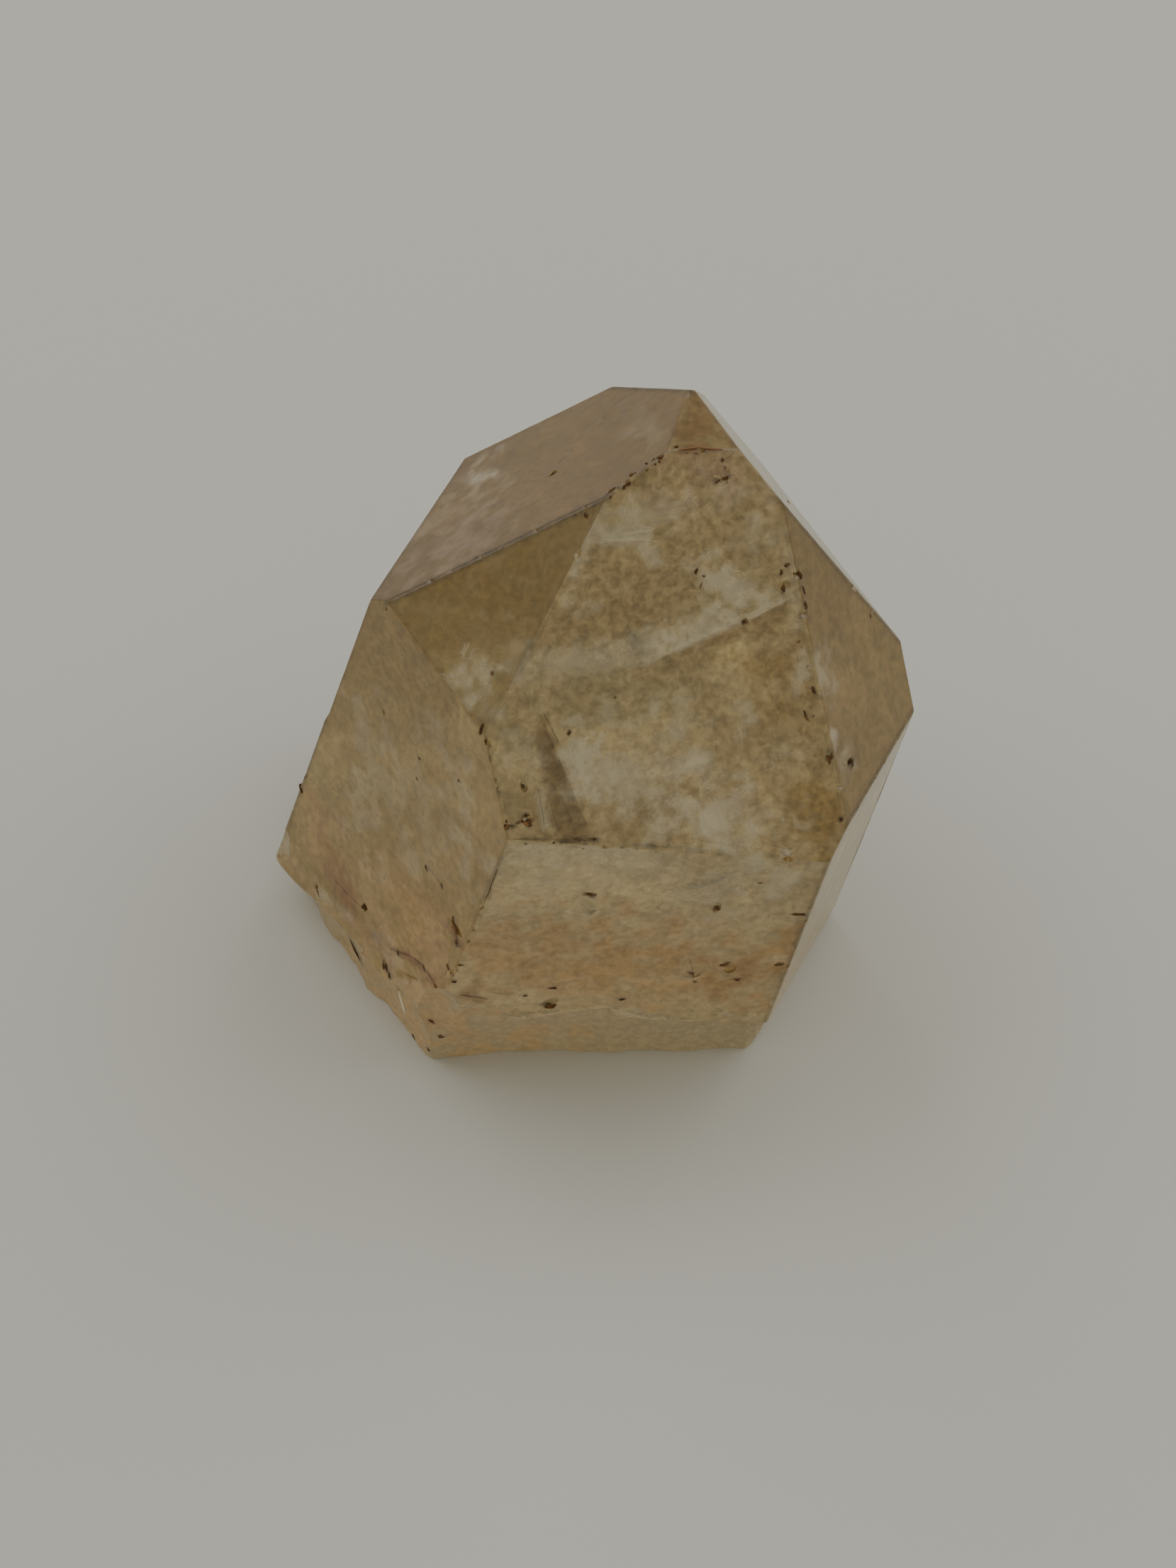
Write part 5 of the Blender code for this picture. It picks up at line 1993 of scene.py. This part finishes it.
@dataclass
class IronGrains:
    """The dark grains: those set in the faces, and the small ones along the edges. Millimetres."""

    seed: int = 23
    face_detail: int = 2
    edge_detail: int = 1
    knobby: float = 0.9
    shrink: float = 0.95
    sunk: float = 0.4
    reach: float = 5.0
    flatness: float = 0.6
    trail_size: tuple[float, float] = (0.03, 0.08)
    trail_spread: float = 0.08
    trail_depth: float = 0.12
    trail_stretch: float = 2.4
    finish: IronFinish = field(default_factory=IronFinish)

    def build(self, body: bpy.types.Object) -> None:
        """Builds both sets of grains.

        Args:
            body: The finished crystal.
        """
        draw = random.Random(self.seed)
        material = self.finish.make()
        set_in = [self.in_surface(grain, body) for grain in GRAINS]
        strewn = [place for trail in TRAILS for place in self.along(trail, draw)]
        for name, places, detail in (
            ("face_grains", set_in, self.face_detail),
            ("edge_grains", strewn, self.edge_detail),
        ):
            made = joined_copies(name, ball_template(detail), places, self.knobby)
            made.data.materials.append(material)
            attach(made, BODY)
        LOG.info("grains: %d and %d", len(set_in), len(strewn))

    def in_surface(self, grain: Grain, body: bpy.types.Object) -> Matrix:
        """Where a grain goes: sunk into the skin of the crystal, stretched along its heading.

        Args:
            grain: The grain.
            body: The crystal. On a face that the photo shows, the grain lies where the line of
                sight meets it, so one below the face's rim lies on the break.

        Returns:
            The place, turn and size of the unit ball.
        """
        target = grain.spot.point()
        outward = HABIT.axes(grain.spot.face)[0]
        hidden = grain.spot.face in HIDDEN_FACES
        origin = grain.spot.point(-self.reach) if hidden else VIEW.eye() * MM
        hit, place, normal, _ = body.ray_cast(origin, (target - origin).normalized())
        if not hit:
            LOG.warning("a grain misses the crystal: %s", grain)
            place, normal = target, outward
        turn = outward.rotation_difference(normal).to_matrix().to_4x4()
        turn = turn @ HABIT.frame_on(grain.spot.face, grain.heading)
        radius = grain.radius * self.shrink * MM
        shape = Matrix.Diagonal((radius * grain.stretch, radius, radius * self.flatness, 1.0))
        return Matrix.Translation(place - normal * radius * self.sunk) @ turn @ shape

    def along(self, trail: Trail, draw: random.Random) -> Iterable[Matrix]:
        """Strews grains along one edge.

        Args:
            trail: Where they lie and how many there are.
            draw: Where the random numbers come from.

        Yields:
            The place, turn and size of the unit ball for each grain.
        """
        start, end = HABIT.corner(*trail.start), HABIT.corner(*trail.end)
        faces = sorted(set(trail.start) & set(trail.end))
        inward = -sum((HABIT.axes(name)[0] for name in faces), Vector()).normalized()
        turn = (end - start).to_track_quat("X", "Z").to_matrix().to_4x4()
        for _ in range(trail.count):
            spread = Vector([draw.gauss(0.0, self.trail_spread) for _ in range(3)])
            spread += inward * self.trail_depth - spread.project(inward)
            spot = start.lerp(end, draw.uniform(*trail.span)) + spread * MM
            size = draw.uniform(*self.trail_size) * MM
            shape = Matrix.Diagonal((size * draw.uniform(1.0, self.trail_stretch), size, size, 1.0))
            yield Matrix.Translation(spot) @ turn @ shape


@dataclass(frozen=True)
class SoftBox:
    """A square area lamp aimed at the crystal. Metres and watts."""

    name: str
    place: tuple[float, float, float]
    side: float
    power: float
    colour: Colour = (1.0, 1.0, 1.0)

    def build(self) -> bpy.types.Object:
        """Makes the lamp.

        Returns:
            The lamp.
        """
        data = bpy.data.lights.new(self.name, "AREA")
        data.shape = "SQUARE"
        data.size = self.side
        data.energy = self.power
        data.color = self.colour
        lamp = placed(self.name, data)
        lamp.location = self.place
        lamp.rotation_euler = Vector(self.place).to_track_quat("Z", "Y").to_euler()
        return lamp


WINDOW = (1.0, 1.02, 1.1)


@dataclass
class Studio:
    """Pale floor, soft light and camera. Metres, but for the gap under the crystal, in millimetres."""

    floor_radius: float = 1.2
    floor_colour: Colour = (0.565, 0.56, 0.5)
    floor_roughness: float = 0.55
    floor_sides: int = 96
    floor_gap: float = 0.05
    sky: Colour = (0.79, 0.75, 0.63)
    horizon: Colour = (0.42, 0.39, 0.31)
    skyline: tuple[float, float] = (-0.1, 0.8)
    strength: float = 0.56
    lamps: tuple[SoftBox, ...] = (
        SoftBox("left_window", (-0.62, 0.62, 0.76), 1.25, 6.05, WINDOW),
        SoftBox("right_window", (0.72, 0.48, 0.76), 1.25, 6.6, WINDOW),
    )

    def build(self) -> None:
        """Makes the floor, the world, the lamps and the camera."""
        self.floor()
        self.world()
        for lamp in self.lamps:
            lamp.build()
        VIEW.build()
        LOG.info("studio: %d lamps", len(self.lamps))

    def floor(self) -> bpy.types.Object:
        """Makes a plain pale floor.

        Returns:
            The floor, which belongs to the stage and not to the crystal.
        """
        deselect_all()
        bpy.ops.mesh.primitive_circle_add(
            vertices=self.floor_sides,
            radius=self.floor_radius,
            fill_type="NGON",
            location=(0, 0, -self.floor_gap * MM),
        )
        floor = bpy.context.active_object
        floor.name = "floor"
        material, _, shader = new_material("pale_table")
        shader.inputs["Base Color"].default_value = rgba(self.floor_colour)
        shader.inputs["Roughness"].default_value = self.floor_roughness
        floor.data.materials.append(material)
        floor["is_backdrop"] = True
        return floor

    def world(self) -> None:
        """Soft light from all round, brighter overhead than at the horizon."""
        world = bpy.data.worlds.new("soft_room")
        bpy.context.scene.world = world
        world.use_nodes = True
        links = Links(world.node_tree)
        direction = links.node("ShaderNodeTexCoord").outputs["Generated"]
        parts = links.node("ShaderNodeSeparateXYZ")
        links.join(direction, parts.inputs[0])
        height = links.ramp(parts.outputs["Z"], *self.skyline)
        colour = links.mix(height, rgba(self.horizon), rgba(self.sky))
        background = world.node_tree.nodes["Background"]
        links.join(colour, background.inputs["Color"])
        background.inputs["Strength"].default_value = self.strength


def write_sizes() -> None:
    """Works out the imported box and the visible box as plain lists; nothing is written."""
    boxes = {"packed": PACKED_BOX, "visible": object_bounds()}
    plain = {name: [list(corner) for corner in box] for name, box in boxes.items()}


def main() -> None:
    """Builds the crystal and its studio in order."""
    logging.basicConfig(level=logging.INFO, format="%(name)s: %(message)s")
    body = CrystalBody().build()
    MilkWisps().build(body)
    Cracks().build()
    Threads().build()
    IronGrains().build(body)
    Studio().build()
    write_sizes()


if __name__ == "__main__":
    main()
